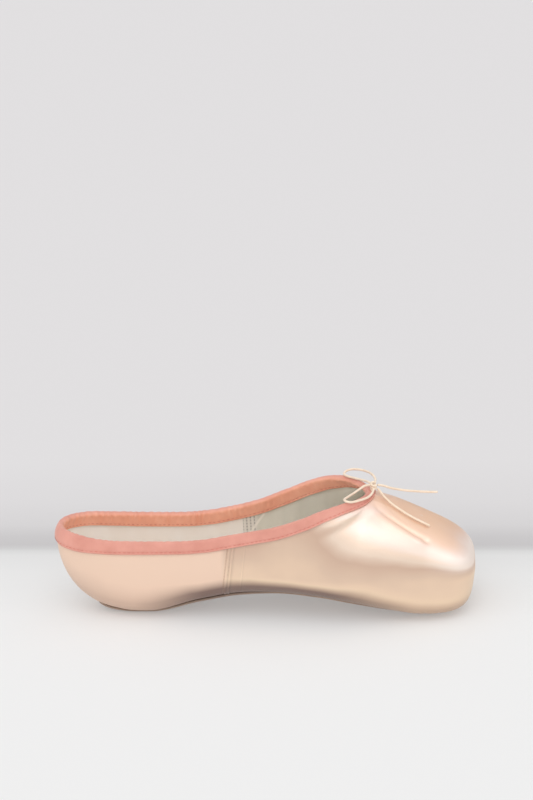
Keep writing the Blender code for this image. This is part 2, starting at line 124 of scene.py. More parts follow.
ROUTES = {
    "drawstring_loop_far": [
        (62.0, 2.9, 71.7), (59.9, 7.8, 71.4), (55.4, 13.3, 70.8), (51.0, 17.2, 70.6), (47.9, 19.9, 70.6),
        (45.7, 23.0, 70.7), (46.4, 26.0, 71.3), (48.7, 27.6, 71.8), (51.7, 27.5, 72.1), (55.7, 25.0, 72.5),
        (59.8, 20.0, 72.9), (62.5, 14.0, 73.2), (64.1, 7.8, 72.9), (63.9, 3.4, 72.5),
    ],
    "drawstring_loop_near": [
        (61.1, -0.4, 72.5), (58.2, -3.6, 73.1), (55.9, -6.6, 72.6), (51.8, -11.5, 71.4), (49.1, -15.0, 70.9),
        (47.4, -18.8, 70.9), (48.2, -22.0, 71.0), (50.6, -22.5, 70.6), (53.4, -20.6, 70.2),
        (57.8, -15.8, 69.7), (60.5, -11.5, 69.4), (62.4, -7.0, 69.8), (63.35, -2.3, 70.6),
    ],
    "drawstring_end_far": [
        (65.6, 1.5, 71.8), (68.9, 3.0, 70.6), (73.0, 4.5, 68.6), (77.5, 6.0, 67.1), (81.7, 7.5, 65.8),
        (88.2, 9.5, 64.4), (94.6, 11.0, 63.4), (99.5, 12.0, 62.9),
    ],
    "drawstring_end_near": [
        (65.4, 0.2, 70.0), (66.8, -0.5, 68.6), (69.0, -2.6, 66.2), (72.9, -5.9, 63.4), (77.4, -8.8, 60.9),
        (81.6, -10.4, 58.5), (85.8, -11.5, 56.2), (90.2, -11.9, 53.9), (94.7, -12.4, 51.6),
    ],
}
KNOT_PLACE = Vector((63.2, 0.6, 71.3))
KNOT_SIZE = Vector((4.0, 4.4, 5.2))

BACK_X = -LENGTH / 2
HEEL_AXIS = BACK_X + HEEL_ROUND
TOE_AXIS = -BACK_X - TOE_ROUND
THROAT_X = BACK_X + THROAT * LENGTH


# Camera
CAMERA_ANGLES = (5.0, 22.0, 2.85)
CAMERA_TARGET = Vector((0, 0, 0.03))
CAMERA_REACH = 1.25
PHOTO_HEIGHT = 800
PHOTO_SCALE = 1737
PHOTO_SHIFT = (0.8, 156)
SENSOR = 36


def make_camera():
    """The photo's view: angles round, down and of roll, then pixels a metre and pixels off the middle."""
    turn, down, roll = (math.radians(angle) for angle in CAMERA_ANGLES)
    ahead = Vector((-math.sin(turn) * math.cos(down), math.cos(turn) * math.cos(down), -math.sin(down)))
    right = Vector((math.cos(turn), math.sin(turn), 0))
    up = right.cross(ahead)
    across = right * math.cos(roll) - up * math.sin(roll)
    above = right * math.sin(roll) + up * math.cos(roll)
    data = bpy.data.cameras.new("camera")
    data.lens = PHOTO_SCALE * CAMERA_REACH / PHOTO_HEIGHT * SENSOR
    data.sensor_width = SENSOR
    data.shift_x, data.shift_y = (shift / PHOTO_HEIGHT for shift in PHOTO_SHIFT)
    data.clip_end = 50
    camera = bpy.data.objects.new("camera", data)
    camera.matrix_world = Matrix.Translation(CAMERA_TARGET - ahead * CAMERA_REACH) @ Matrix(
        (across, above, -ahead)).transposed().to_4x4()
    bpy.context.scene.collection.objects.link(camera)
    bpy.context.scene.camera = camera


make_camera()


# The last's surface, on whole arrays of places
def read(table, name, share):
    shares = np.array([row.share for row in table])
    values = np.array([getattr(row, name) for row in table])
    share = np.clip(share, shares[0], shares[-1])
    k = np.clip(np.searchsorted(shares, share, side="right") - 1, 0, len(shares) - 2)
    steps = np.diff(shares)
    secants = np.diff(values) / steps
    left, right = secants[:-1], secants[1:]
    total = np.where(np.abs(left + right) < 1e-12, 1.0, left + right)
    inner = np.where(left * right <= 0, 0.0, 2 * left * right / total)
    slopes = np.concatenate([[secants[0]], inner, [secants[-1]]])
    step = steps[k]
    t = (share - shares[k]) / step
    rise = values[k + 1] - values[k]
    start, end = slopes[k] * step, slopes[k + 1] * step
    return values[k] + t * (start + t * (3 * rise - 2 * start - end + t * (start + end - 2 * rise)))


def share_of(x):
    return (x - BACK_X) / LENGTH


def half_width(x):
    return BALL_WIDTH / 2 * read(LAST, "width", share_of(x))


def power(base, exponent):
    return np.sign(base) * np.abs(base) ** exponent


def folded(stretch):
    """Stretches on either side as they are on the half from 0 to 3."""
    s = np.mod(stretch, 6.0)
    return np.where(s > 3, 6 - s, s)


def both_halves(half):
    """Stretches all the way round from those on the half from 0 to 3."""
    return np.concatenate([half, 6 - half[1:-1][::-1]])


Column = namedtuple("Column", "axis_x reach_x reach_y share")


def column(stretch):
    """Columns at stretches from 0 at the heel over 3 at the toe to 6 at the heel again."""
    stretch = np.asarray(stretch, float)
    side = np.where(np.mod(stretch, 6.0) > 3, -1.0, 1.0)
    s = folded(stretch)
    heel, toe = s < 1, s > 2
    turn = np.where(heel, s, np.where(toe, s - 2, 0)) * math.pi / 2
    axis_x = np.where(heel, HEEL_AXIS, np.where(toe, TOE_AXIS, HEEL_AXIS + (s - 1) * (TOE_AXIS - HEEL_AXIS)))
    reach_x = np.where(heel, -HEEL_ROUND * power(np.cos(turn), 2 / HEEL_POWER), 0.0)
    reach_x = np.where(toe, TOE_ROUND * power(np.sin(turn), 2 / TOE_POWER), reach_x)
    reach_y = np.where(heel, half_width(HEEL_AXIS) * power(np.sin(turn), 2 / HEEL_POWER), half_width(axis_x))
    round_toe = half_width(TOE_AXIS + reach_x) * power(np.maximum(0, np.cos(turn)), 2 / TOE_POWER)
    reach_y = np.where(toe, round_toe, reach_y)
    return Column(axis_x, reach_x, side * reach_y, share_of(axis_x + reach_x))


def stretch_of(x):
    return 1 + (x - HEEL_AXIS) / (TOE_AXIS - HEEL_AXIS)


def rim_half_width(share):
    near = np.clip((share - THROAT_START) / (THROAT - THROAT_START), 0, 1)
    start = BALL_WIDTH / 2 * read(COLLAR, "width", THROAT_START)
    flared = start * (1 - near ** THROAT_FLARE) ** THROAT_ROUND
    return np.where(share <= THROAT_START, BALL_WIDTH / 2 * read(COLLAR, "width", share), flared)


def rim_of(col):
    reach = np.hypot(col.reach_x, col.reach_y)
    back = np.abs(col.reach_x) / HEEL_ROUND
    flank = half_width(HEEL_AXIS) - rim_half_width(share_of(HEEL_AXIS))
    round_heel = 1 - (flank * (1 - back) + BACK_LEAN * back) / reach
    side = rim_half_width(col.share) / np.maximum(1e-9, np.abs(col.reach_y))
    cut = np.where(col.reach_x < 0, round_heel, side)
    return cut, INSTEP_HEIGHT * read(COLLAR, "height", share_of(col.axis_x + cut * col.reach_x))


def girdle(col):
    return INSTEP_HEIGHT * read(LAST, "girdle", col.share)


def sole_level(x):
    return ARCH_RISE * read(LAST, "rise", share_of(x))


def floor_of(x):
    return sole_level(x) + SOLE_THICKNESS * read(LAST, "skive", share_of(x)) + CLEARANCE


def last_point(stretch, angle):
    col = column(stretch)
    angle = np.asarray(angle, float)
    above = angle > 0
    bend = np.where(above, read(LAST, "brow", col.share), read(LAST, "belly", col.share))
    cut = power(np.cos(angle), 2 / bend)
    lift = np.abs(np.sin(angle)) ** (2 / bend)
    reach_x = np.where((col.reach_x > 0) & ~above, col.reach_x * (1 - TOE_UNDERCUT * lift), col.reach_x)
    x = col.axis_x + cut * reach_x
    level = girdle(col)
    rim_cut, rim_height = rim_of(col)
    rim_lift = np.maximum(1e-6, 1 - np.clip(rim_cut, 0, 1) ** bend) ** (1 / bend)
    open_top = level + (rim_height - level) / rim_lift
    crown = INSTEP_HEIGHT * read(LAST, "crown", share_of(x))
    top = np.where(above, np.where(col.share < THROAT, open_top, crown), floor_of(x))
    return np.stack(np.broadcast_arrays(x, cut * col.reach_y, level + (top - level) * lift), axis=-1)


def rim_angle(stretch):
    col = column(stretch)
    bend = read(LAST, "brow", col.share)
    open_angle = np.arccos(np.clip(rim_of(col)[0], 0, 1) ** (bend / 2))
    return np.where(col.share >= THROAT - 1e-9, math.pi / 2, open_angle)


def belly_angle(stretch, cut):
    return -np.arccos(np.clip(cut, 0, 1) ** (read(LAST, "belly", column(stretch).share) / 2))


def unit(vectors):
    return vectors / np.maximum(1e-15, np.linalg.norm(vectors, axis=-1, keepdims=True))


def outward(stretch, angle):
    """Unit normals of the outer surface."""
    step = 1e-4
    stretch, angle = np.broadcast_arrays(np.asarray(stretch, float), np.asarray(angle, float))
    pole = np.abs(angle) > math.pi / 2 - step
    far = np.mod(stretch, 6.0) > 3
    near = folded(stretch)
    held = np.clip(near, 1 + step, 2 - step)
    near = np.where(pole, held, near)
    s = np.where(far, 6 - near, near)
    along = last_point(s + step, angle) - last_point(s - step, angle)
    rise = last_point(s, angle + step) - last_point(s, angle - step)
    normal = np.cross(rise, along)
    flat = pole | (np.abs(column(stretch).reach_y) < 1e-9)
    normal[..., 1] = np.where(flat, 0.0, normal[..., 1])
    return unit(normal)


def wall_at(share):
    t = np.clip((share - BOX_START) / BOX_RAMP, 0, 1)
    return WALL + (BOX_WALL - WALL) * t * t * (3 - 2 * t)


def sole_cut(stretch):
    """Share of a column's reach that the outsole covers."""
    s = folded(stretch)

    def side(at):
        x = column(at).axis_x
        return BALL_WIDTH / 2 * read(LAST, "sole", share_of(x)) / half_width(x)

    heel = SOLE_BACK + (side(1.0) - SOLE_BACK) * np.sin(np.minimum(s, 1) * math.pi / 2) ** 2
    toe = SOLE_FRONT + (side(2.0) - SOLE_FRONT) * np.cos((np.clip(s, 2, 3) - 2) * math.pi / 2) ** 2
    return np.where(s < 1, heel, np.where(s > 2, toe, side(np.clip(s, 1, 2))))


# Evenly spaced places on it
def lengths_along(points):
    """Length of a route up to each of its points."""
    return np.concatenate([[0], np.cumsum(np.linalg.norm(np.diff(points, axis=0), axis=1))])


def even_stretches(start, end, count):
    """Stretches from start to end at even distances round the girdle, within 0 to 3."""
    fine = np.concatenate([np.linspace(0, 2, 4001), 3 - np.linspace(1, 0, 2001)[1:] ** 2])
    lengths = lengths_along(last_point(fine, 0.0))
    a, b = np.interp([start, end], fine, lengths)
    return np.interp(np.linspace(a, b, count), lengths, fine)


def even_angles(stretches, low, high, shares):
    """For each stretch, angles between low and high at the given shares of the arc between them."""
    count = 241
    w = np.linspace(0, 1, count)
    ease = 0.5 - 0.5 * np.cos(math.pi * w)
    low = np.broadcast_to(low, stretches.shape)
    high = np.broadcast_to(high, stretches.shape)
    fine = np.concatenate([low * (1 - ease[:-1, None]), high * ease[:, None]], axis=0)
    points = last_point(stretches[None, :], fine)
    steps = np.linalg.norm(np.diff(points, axis=0), axis=-1)
    lengths = np.concatenate([np.zeros((1, len(stretches))), np.cumsum(steps, axis=0)])
    angles = np.empty((len(shares), len(stretches)))
    for j in range(len(stretches)):
        angles[:, j] = np.interp(np.asarray(shares) * lengths[-1, j], lengths[:, j], fine[:, j])
    return angles, lengths[-1]


def smoothstep(t):
    t = np.clip(t, 0, 1)
    return t * t * (3 - 2 * t)


def wander(points, size, seed, octaves=2):
    """Smooth noise from -1 to 1 at points, on a scale of size."""
    flat = (points.reshape(-1, 3) / size + seed * 17.31).tolist()
    values = [noise.fractal(p, 1.0, 2.0, octaves) for p in flat]
    return np.array(values).reshape(points.shape[:-1])


def line_distance(points, line):
    """Distance from each point to a polyline, and the share of the line's length of the nearest place."""
    line = np.asarray(line, float)
    lengths = lengths_along(line)
    best = np.full(points.shape[:-1], 1e9)
    place = np.zeros(points.shape[:-1])
    for k in range(len(line) - 1):
        a, d = line[k], line[k + 1] - line[k]
        t = np.clip(((points - a) @ d) / (d @ d), 0, 1)
        gap = np.linalg.norm(points - a - t[..., None] * d, axis=-1)
        closer = gap < best
        best = np.where(closer, gap, best)
        place = np.where(closer, (lengths[k] + t * (lengths[k + 1] - lengths[k])) / lengths[-1], place)
    return best, place


# Meshes
def mesh_object(name, points, faces, materials, uv=None, face_materials=None, merge=0.0, marks=None):
    """An object from points, quads or triangles, and optional uv and named numbers for each point."""
    data = bpy.data.meshes.new(name)
    data.from_pydata([tuple(p) for p in points], [], faces)
    for mark, values in (marks or {}).items():
        layer = data.attributes.new(mark, "FLOAT", "POINT")
        layer.data.foreach_set("value", np.asarray(values, np.float32).ravel())
    for material in materials:
        data.materials.append(material)
    if uv is not None:
        layer = data.uv_layers.new(name="surface")
        loops = np.empty(len(data.loops), dtype=np.int64)
        data.loops.foreach_get("vertex_index", loops)
        layer.data.foreach_set("uv", np.asarray(uv, dtype=np.float32)[loops].ravel())
    if face_materials is not None:
        data.polygons.foreach_set("material_index", np.asarray(face_materials, dtype=np.int32))
    mesh = bmesh.new()
    mesh.from_mesh(data)
    if merge:
        bmesh.ops.remove_doubles(mesh, verts=mesh.verts, dist=merge)
    bmesh.ops.recalc_face_normals(mesh, faces=mesh.faces)
    mesh.to_mesh(data)
    mesh.free()
    data.shade_smooth()
    obj = bpy.data.objects.new(name, data)
    bpy.context.scene.collection.objects.link(obj)
    return obj


def grid_faces(rows, columns, wrap_rows=False, skip=None):
    """Quads between rows of points that each close on themselves, and the row that each quad starts on."""
    faces = []
    kinds = []
    for i in range(rows if wrap_rows else rows - 1):
        n = (i + 1) % rows
        for j in range(columns):
            m = (j + 1) % columns
            if skip is None or not skip(i, n, j, m):
                faces.append((i * columns + j, i * columns + m, n * columns + m, n * columns + j))
                kinds.append(i)
    return faces, np.array(kinds)


def shell_faces(rows, wrap_rows=False):
    """Faces of rows of points, without those that lie wholly in the mirror plane."""
    count = rows.shape[1]
    flat = rows.reshape(-1, 3)

    def in_plane(i, n, j, m):
        corners = (i * count + j, i * count + m, n * count + m, n * count + j)
        return all(abs(flat[c][1]) < 1e-7 for c in corners)

    return grid_faces(len(rows), count, wrap_rows=wrap_rows, skip=in_plane)


def ring_round(point, radius, across, over, sides):
    """Points round a place, in the plane of two unit vectors."""
    around = np.arange(sides) / sides * 2 * math.pi
    turned = np.cos(around)[:, None] * across + np.sin(around)[:, None] * over
    return point + np.reshape(radius, (-1, 1)) * turned


def thread_mesh(name, stitches, material):
    """One mesh of many short threads, each given as the rings of points along it."""
    verts, faces = [], []
    base = 0
    for rings in stitches:
        count, sides = rings.shape[:2]
        part, _ = grid_faces(count, sides)
        part.append(tuple(range(sides - 1, -1, -1)))
        part.append(tuple((count - 1) * sides + c for c in range(sides)))
        faces += [tuple(base + c for c in face) for face in part]
        verts.append(rings.reshape(-1, 3))
        base += count * sides
    return mesh_object(name, np.concatenate(verts), faces, [material])


def frames_along(points):
    """Normals and binormals along a route, turned as little as possible."""
    tangents = unit(np.gradient(points, axis=0))
    normals = np.empty_like(points)
    axis = np.array([0.0, 0, 1.0]) if abs(tangents[0][2]) < 0.8 else np.array([1.0, 0, 0])
    normal = unit(np.cross(tangents[0], axis))
    for i, tangent in enumerate(tangents):
        normal = unit(normal - tangent * (normal @ tangent))
        normals[i] = normal
    return normals, np.cross(tangents, normals)


def tube(name, points, radius, material, sides=18, strands=3, pitch=2.4 * MM, groove=0.16, ends=0.0):
    """A laid cord along points: strands wind round it once in a pitch."""
    lengths = lengths_along(points)
    normals, binormals = frames_along(points)
    around = np.arange(sides) / sides * 2 * math.pi
    total = lengths[-1]
    taper = np.ones(len(points))
    if ends:
        taper = np.sqrt(np.clip(1 - (1 - np.clip((total - lengths) / ends, 0, 1)) ** 2, 0.02, 1))
    verts = []
    uv = []
    for i, point in enumerate(points):
        phase = 2 * math.pi * lengths[i] / pitch
        lobes = np.abs(np.sin(strands / 2 * (around - phase)))
        r = radius * taper[i] * (1 - groove + groove * lobes)
        verts.append(ring_round(point, r, normals[i], binormals[i], sides))
        uv.append(np.stack([np.full(sides, lengths[i] * 1000), around / (2 * math.pi)], axis=1))
    verts = np.concatenate(verts)
    faces, _ = grid_faces(len(points), sides)
    verts = np.vstack([verts, points[0], points[-1]])
    first, last = len(verts) - 2, len(verts) - 1
    base = (len(points) - 1) * sides
    faces += [(first, (j + 1) % sides, j) for j in range(sides)]
    faces += [(last, base + j, base + (j + 1) % sides) for j in range(sides)]
    uv = np.vstack([np.concatenate(uv), [[0, 0]], [[total * 1000, 0]]])
    return mesh_object(name, verts, faces, [material], uv=uv)


def smooth_route(points, spacing):
    """Points at an even spacing on a smooth curve through the route's own points, in metres."""
    points = [np.array(p, float) * MM for p in points]
    padded = [2 * points[0] - points[1]] + points + [2 * points[-1] - points[-2]]
    fine = []
    for k in range(1, len(padded) - 2):
        a, b, c, d = padded[k - 1:k + 3]
        for i in range(40):
            t = i / 40
            bend = 2 * a - 5 * b + 4 * c - d + t * (3 * b - a - 3 * c + d)
            fine.append(b + 0.5 * t * (c - a + t * bend))
    fine = np.array(fine + [points[-1]])
    lengths = lengths_along(fine)
    count = max(2, round(lengths[-1] / spacing))
    wanted = np.linspace(0, lengths[-1], count + 1)
    return np.stack([np.interp(wanted, lengths, fine[:, k]) for k in range(3)], axis=1)


# Materials
def fill_inputs(tree, node, inputs):
    """Link or set a node's inputs, from sockets or values by name or number."""
    for key, value in (inputs or {}).items():
        if isinstance(value, bpy.types.NodeSocket):
            tree.links.new(value, node.inputs[key])
        else:
            node.inputs[key].default_value = value


class Nodes:
    """Short-hand for building one material's nodes."""

    def __init__(self, name, **settings):
        self.material = bpy.data.materials.new(name)
        self.material.use_nodes = True
        self.tree = self.material.node_tree
        self.shader = self.tree.nodes["Principled BSDF"]
        for key, value in settings.items():
            self.shader.inputs[key.replace("_", " ")].default_value = value

    def add(self, kind, inputs=None, **settings):
        node = self.tree.nodes.new(kind)
        for key, value in settings.items():
            setattr(node, key, value)
        fill_inputs(self.tree, node, inputs)
        return node

    def link(self, source, target):
        self.tree.links.new(source, target)

    def coordinates(self, scale=(1, 1, 1), uv=False):
        source = self.add("ShaderNodeTexCoord").outputs["UV" if uv else "Object"]
        return self.add("ShaderNodeMapping", {"Vector": source, "Scale": scale}).outputs["Vector"]

    def noise(self, vector, scale, detail=2.0):
        inputs = {"Vector": vector, "Scale": scale, "Detail": detail}
        return self.add("ShaderNodeTexNoise", inputs).outputs["Fac"]

    def wave(self, vector, scale, direction="X", distortion=0.0):
        inputs = {"Vector": vector, "Scale": scale, "Distortion": distortion, "Detail": 2.0}
        return self.add("ShaderNodeTexWave", inputs, wave_type="BANDS",
                        bands_direction=direction).outputs["Fac"]

    def ramp(self, factor, stops):
        node = self.add("ShaderNodeValToRGB", {"Fac": factor})
        elements = node.color_ramp.elements
        while len(elements) < len(stops):
            elements.new(0.5)
        for element, (place, color) in zip(elements, stops):
            element.position = place
            element.color = (*color, 1.0)
        return node.outputs["Color"]

    def span(self, value, low, high, to_low=0.0, to_high=1.0):
        return self.add("ShaderNodeMapRange", {"Value": value, "From Min": low, "From Max": high,
                                               "To Min": to_low, "To Max": to_high}).outputs["Result"]

    def math(self, operation, a, b=0.0):
        return self.add("ShaderNodeMath", {0: a, 1: b}, operation=operation).outputs["Value"]

    def plus(self, a, b):
        return self.math("ADD", a, b)

    def minus(self, a, b):
        return self.math("SUBTRACT", a, b)

    def times(self, a, b):
        return self.math("MULTIPLY", a, b)

    def mix(self, factor, a, b, blend="MIX"):
        """Mix of two colours, each a socket or three numbers."""
        a, b = ((*color, 1.0) if isinstance(color, tuple) else color for color in (a, b))
        inputs = {0: factor, 6: a, 7: b}
        return self.add("ShaderNodeMix", inputs, data_type="RGBA", blend_type=blend).outputs[2]

    def clouded(self, cloud, dark, light):
        """A colour that wanders between two with a noise."""
        return self.mix(self.span(cloud, 0.3, 0.7), dark, light)

    def tone(self, color, factor):
        grey = self.add("ShaderNodeCombineXYZ", {"X": factor, "Y": factor, "Z": factor}).outputs["Vector"]
        return self.mix(1.0, color, grey, blend="MULTIPLY")

    def mark(self, name):
        return self.add("ShaderNodeAttribute", attribute_name=name, attribute_type="GEOMETRY").outputs["Fac"]

    def separate(self, vector):
        return self.add("ShaderNodeSeparateXYZ", {"Vector": vector}).outputs

    def bump(self, height, distance, strength=1.0, below=None):
        inputs = {"Height": height, "Distance": distance, "Strength": strength}
        if below is not None:
            inputs["Normal"] = below
        return self.add("ShaderNodeBump", inputs).outputs["Normal"]

    def color(self, socket):
        self.link(socket, self.shader.inputs["Base Color"])

    def normal(self, socket):
        self.link(socket, self.shader.inputs["Normal"])


def srgb(r, g, b):
    """Linear colour from 0 to 255 screen values."""
    return tuple((v / 255 / 12.92) if v <= 10.3 else ((v / 255 + 0.055) / 1.055) ** 2.4 for v in (r, g, b))


# Base colour of the satin before the seam, by how far it faces up; it is painted light: the pale band is a
# painted highlight, the darker band under it painted shade, the lighter band lower down a painted reflection
# of the floor, and the tan top painted shade and reflection
SATIN_PAINTED_LIGHT_BY_SLOPE = [
    (-0.30, (232, 199, 166)), (-0.14, (238, 208, 174)), (0.0, (230, 198, 167)), (0.07, (217, 185, 157)),
    (0.18, (206, 170, 143)), (0.30, (232, 207, 184)), (0.40, (234, 206, 181)), (0.50, (227, 204, 187)),
    (0.70, (226, 193, 175)), (0.80, (228, 188, 160)), (0.90, (227, 181, 142))]


# Painted shade near the sole, brown: mm above its edge, then how much of it
SOLE_PAINTED_SHADE_REACH = 26.0
SOLE_PAINTED_SHADE = [(0.0, 1.0), (0.16, 0.85), (0.34, 0.35), (0.6, 0.0)]

# The seam's tones across it, by mm past the stitch line: painted shade in the stitch line, the groove and
# the drop, painted highlights on the two folded edges and the tape's edge
SEAM_PAINTED_SHADE_AND_HIGHLIGHT = [
    (-1.0, 0.75), (-0.5, 0.75), (-0.15, 0.45), (0.15, 0.45), (0.6, 0.75), (SEAM_FOLDS[0], 0.95), (1.5, 0.7),
    (1.9, 0.3), (2.3, 0.3), (2.7, 0.75), (SEAM_FOLDS[1], 1.0), (3.6, 0.6), (SEAM_DROP, 0.25), (4.8, 0.65),
    (5.6, 0.75), (9.4, 0.75), (SEAM_EDGE, 1.0), (10.3, 0.5), (11.0, 0.75)]


def satin_material():
    n = Nodes("satin", Metallic=0.14, IOR=1.8, Specular_IOR_Level=1.0, Sheen_Weight=0.1,
              Sheen_Roughness=0.35, Anisotropic=0.4)
    n.shader.inputs["Sheen Tint"].default_value = (1.0, 0.93, 0.86, 1.0)
    n.shader.inputs["Specular Tint"].default_value = (1.0, 0.97, 0.99, 1.0)
    uv = n.coordinates(uv=True)
    place = n.coordinates()
    x, y, z = n.separate(place)
    cloud = n.noise(place, 22.0, 3.0)
    quarter = n.span(x, SEAM_TOP.x - 0.004, SEAM_TOP.x, 1.0, 0.0)
    slope = n.plus(n.mark("tilt"), n.span(cloud, 0.3, 0.7, -0.05, 0.05))
    low, high = -0.3, 1.0
    # The vamp's colour by slope paints its highlight, shade and reflections
    stops = [((at - low) / (high - low), srgb(*color)) for at, color in SATIN_PAINTED_LIGHT_BY_SLOPE]
    vamp = n.ramp(n.span(slope, low, high), stops)
    # Painted highlight: the toe's tip turns near white where its satin faces partly up
    tip_painted_highlight = n.times(n.span(slope, 0.08, 0.32), n.span(slope, 0.62, 0.82, 1.0, 0.0))
    vamp = n.mix(n.times(n.span(x, 0.090, 0.112, 0.0, 0.7), tip_painted_highlight), vamp, srgb(252, 238, 228))
    base = n.mix(quarter, vamp, srgb(238, 204, 178))
    # Painted shade in brown near the sole's edge and where the satin faces down, strongest at the waist
    uneven = n.plus(n.mark("above_sole"), n.span(n.noise(place, 60.0, 2.0), 0.3, 0.7, -1.0, 1.0))
    sole_painted_shade = n.ramp(n.span(uneven, 0.0, SOLE_PAINTED_SHADE_REACH), [(at, (much,) * 3) for at, much in SOLE_PAINTED_SHADE])
    under = n.span(slope, -0.08, -0.5, 0.0, 0.9)
    waist = n.times(n.span(x, -0.075, -0.035, 0.3, 1.0), n.span(x, 0.04, 0.085, 1.0, 0.4))
    base = n.mix(n.times(n.math("MAXIMUM", sole_painted_shade, under), waist), base, srgb(88, 46, 26))
    # Painted shade and highlights along the side seams, from the seam tones, away from the middle
    past_seam = n.plus(n.minus(x, SEAM_TOP.x), n.times(n.minus(SEAM_TOP.z, z), SEAM_LEAN))
    low, high = SEAM_PAINTED_SHADE_AND_HIGHLIGHT[0][0], SEAM_PAINTED_SHADE_AND_HIGHLIGHT[-1][0]
    stops = [((at - low) / (high - low), (tone,) * 3) for at, tone in SEAM_PAINTED_SHADE_AND_HIGHLIGHT]
    tone = n.span(n.ramp(n.span(past_seam, low * MM, high * MM), stops), 0.0, 1.0, 0.79, 1.07)
    side = n.math("GREATER_THAN", n.math("ABSOLUTE", y), 0.008)
    n.color(n.tone(base, n.plus(n.times(side, n.minus(tone, 1.0)), 1.0)))
    threads = n.wave(uv, 3.1, "Y", 0.35)
    floats = n.noise(n.coordinates((1.0, 9.0, 1.0), uv=True), 1.1, 2.0)
    soft = n.noise(place, 130.0, 2.0)
    weave = n.bump(threads, 0.00003, 0.35)
    weave = n.bump(floats, 0.00006, 0.5, weave)
    weave = n.bump(soft, 0.0002, 0.35, weave)
    n.normal(weave)
    smooth = n.span(floats, 0.3, 0.7, 0.34, 0.42)
    n.link(n.plus(smooth, n.times(quarter, 0.16)), n.shader.inputs["Roughness"])
    return n.material


def lining_material():
    n = Nodes("lining_cloth", Roughness=0.9, Sheen_Weight=0.15)
    place = n.coordinates()
    x, _, z = n.separate(place)
    cloud = n.noise(n.coordinates((2.2, 1.0, 0.5)), 34.0, 2.0)
    heel = n.clouded(cloud, srgb(249, 242, 232), srgb(255, 251, 244))
    vamp = n.clouded(cloud, srgb(220, 217, 203), srgb(236, 233, 219))
    tape_start, tape_end = TAPE
    base = n.mix(n.span(x, (tape_start - 0.4) * MM, (tape_start + 0.6) * MM), heel, srgb(238, 234, 224))
    rows = n.wave(n.coordinates((1.0, 0.0, 0.0)), 140.0, "X")
    dashes = n.wave(n.coordinates((0.0, 0.0, 1.0)), 160.0, "Z")
    dots = n.times(n.span(rows, 0.5, 0.9), n.span(dashes, 0.35, 0.7, 0.3, 0.9))
    past_start = n.math("GREATER_THAN", x, tape_start * MM)
    on_tape = n.times(past_start, n.math("LESS_THAN", x, tape_end * MM))
    base = n.mix(n.times(dots, on_tape), base, srgb(172, 166, 158))
    base = n.mix(n.span(x, (tape_end - 0.3) * MM, (tape_end + 2.0) * MM), base, vamp)
    lean = n.times(n.minus(z, TAPE_STREAK.z * MM), TAPE_STREAK_LEAN)
    off = n.math("ABSOLUTE", n.minus(n.minus(x, TAPE_STREAK.x * MM), lean))
    base = n.mix(n.span(off, 0.0004, 0.0013, 0.85, 0.0), base, srgb(252, 247, 236))
    n.color(base)
    uv = n.coordinates(uv=True)
    a = n.wave(uv, 0.9, "X", 0.3)
    b = n.wave(uv, 0.9, "Y", 0.3)
    n.normal(n.bump(n.plus(a, b), 0.00008, 0.5))
    return n.material


def binding_material():
    n = Nodes("binding_cotton", Roughness=0.72, Sheen_Weight=0.3, Sheen_Roughness=0.5)
    n.shader.inputs["Sheen Tint"].default_value = (1.0, 0.82, 0.75, 1.0)
    place = n.coordinates()
    cloud = n.noise(place, 90.0, 3.0)
    uv = n.coordinates(uv=True)
    inner = n.span(n.separate(uv)[1], BINDING_RUN * (LEG_ROWS + 5), BINDING_RUN * (LEG_ROWS + 11))
    # The inner leg (hem) is a lighter, warmer copy of the outer strip's colour: painted light bounced inside
    # the shoe
    strip = n.clouded(cloud, srgb(216, 146, 130), srgb(229, 161, 145))
    hem = n.clouded(cloud, srgb(244, 168, 138), srgb(253, 186, 156))
    n.color(n.mix(inner, strip, hem))
    ribs = n.wave(uv, 1.0, "DIAGONAL", 0.4)
    fine = n.noise(place, 900.0, 2.0)
    n.normal(n.bump(n.plus(ribs, fine), 0.0001, 0.5))
    return n.material


def cord_material():
    n = Nodes("drawstring_cotton", Roughness=0.6, Sheen_Weight=0.3, Sheen_Roughness=0.5)
    place = n.coordinates()
    n.color(n.clouded(n.noise(place, 300.0, 2.0), srgb(238, 216, 192), srgb(248, 230, 208)))
    n.normal(n.bump(n.noise(place, 1600.0, 3.0), 0.00008, 0.5))
    return n.material


def leather_material():
    n = Nodes("sole_leather", Roughness=0.72)
    place = n.coordinates()
    cloud = n.noise(place, 40.0, 4.0)
    n.color(n.clouded(cloud, srgb(150, 128, 114), srgb(176, 152, 134)))
    n.normal(n.bump(n.noise(place, 1400.0, 4.0), 0.0002, 0.6))
    return n.material


def insole_material():
    n = Nodes("insole_cloth", Roughness=0.9)
    place = n.coordinates()
    n.color(n.clouded(n.noise(place, 40.0, 3.0), srgb(240, 230, 216), srgb(248, 240, 228)))
    n.normal(n.bump(n.noise(place, 1200.0, 3.0), 0.0001, 0.5))
    return n.material


def thread_material(name, color):
    n = Nodes(name, Roughness=0.6, Sheen_Weight=0.2)
    n.color(n.mix(n.noise(n.coordinates(), 800.0, 1.0), color, tuple(min(1.0, c * 1.15) for c in color)))
    return n.material


SATIN = satin_material()
LINING = lining_material()
BINDING = binding_material()
CORD_COTTON = cord_material()
LEATHER = leather_material()
SOCK = insole_material()
ROSE_THREAD = thread_material("rose_thread", srgb(206, 122, 108))
SEAM_THREAD = thread_material("seam_thread", srgb(192, 164, 142))


# The cord's bow
def make_bow():
    knot_centre = np.array(KNOT_PLACE) * MM
    for name, points in ROUTES.items():
        path = smooth_route(points, 0.28 * MM)
        piece = tube(name.replace("drawstring", "cord"), path, CORD / 2, CORD_COTTON,
                     ends=0.9 * MM if "end" in name else 0.0)
        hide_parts(name)
        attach(piece, "root")
    knot = make_knot(knot_centre)
    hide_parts("drawstring_knot")
    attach(knot, "root")


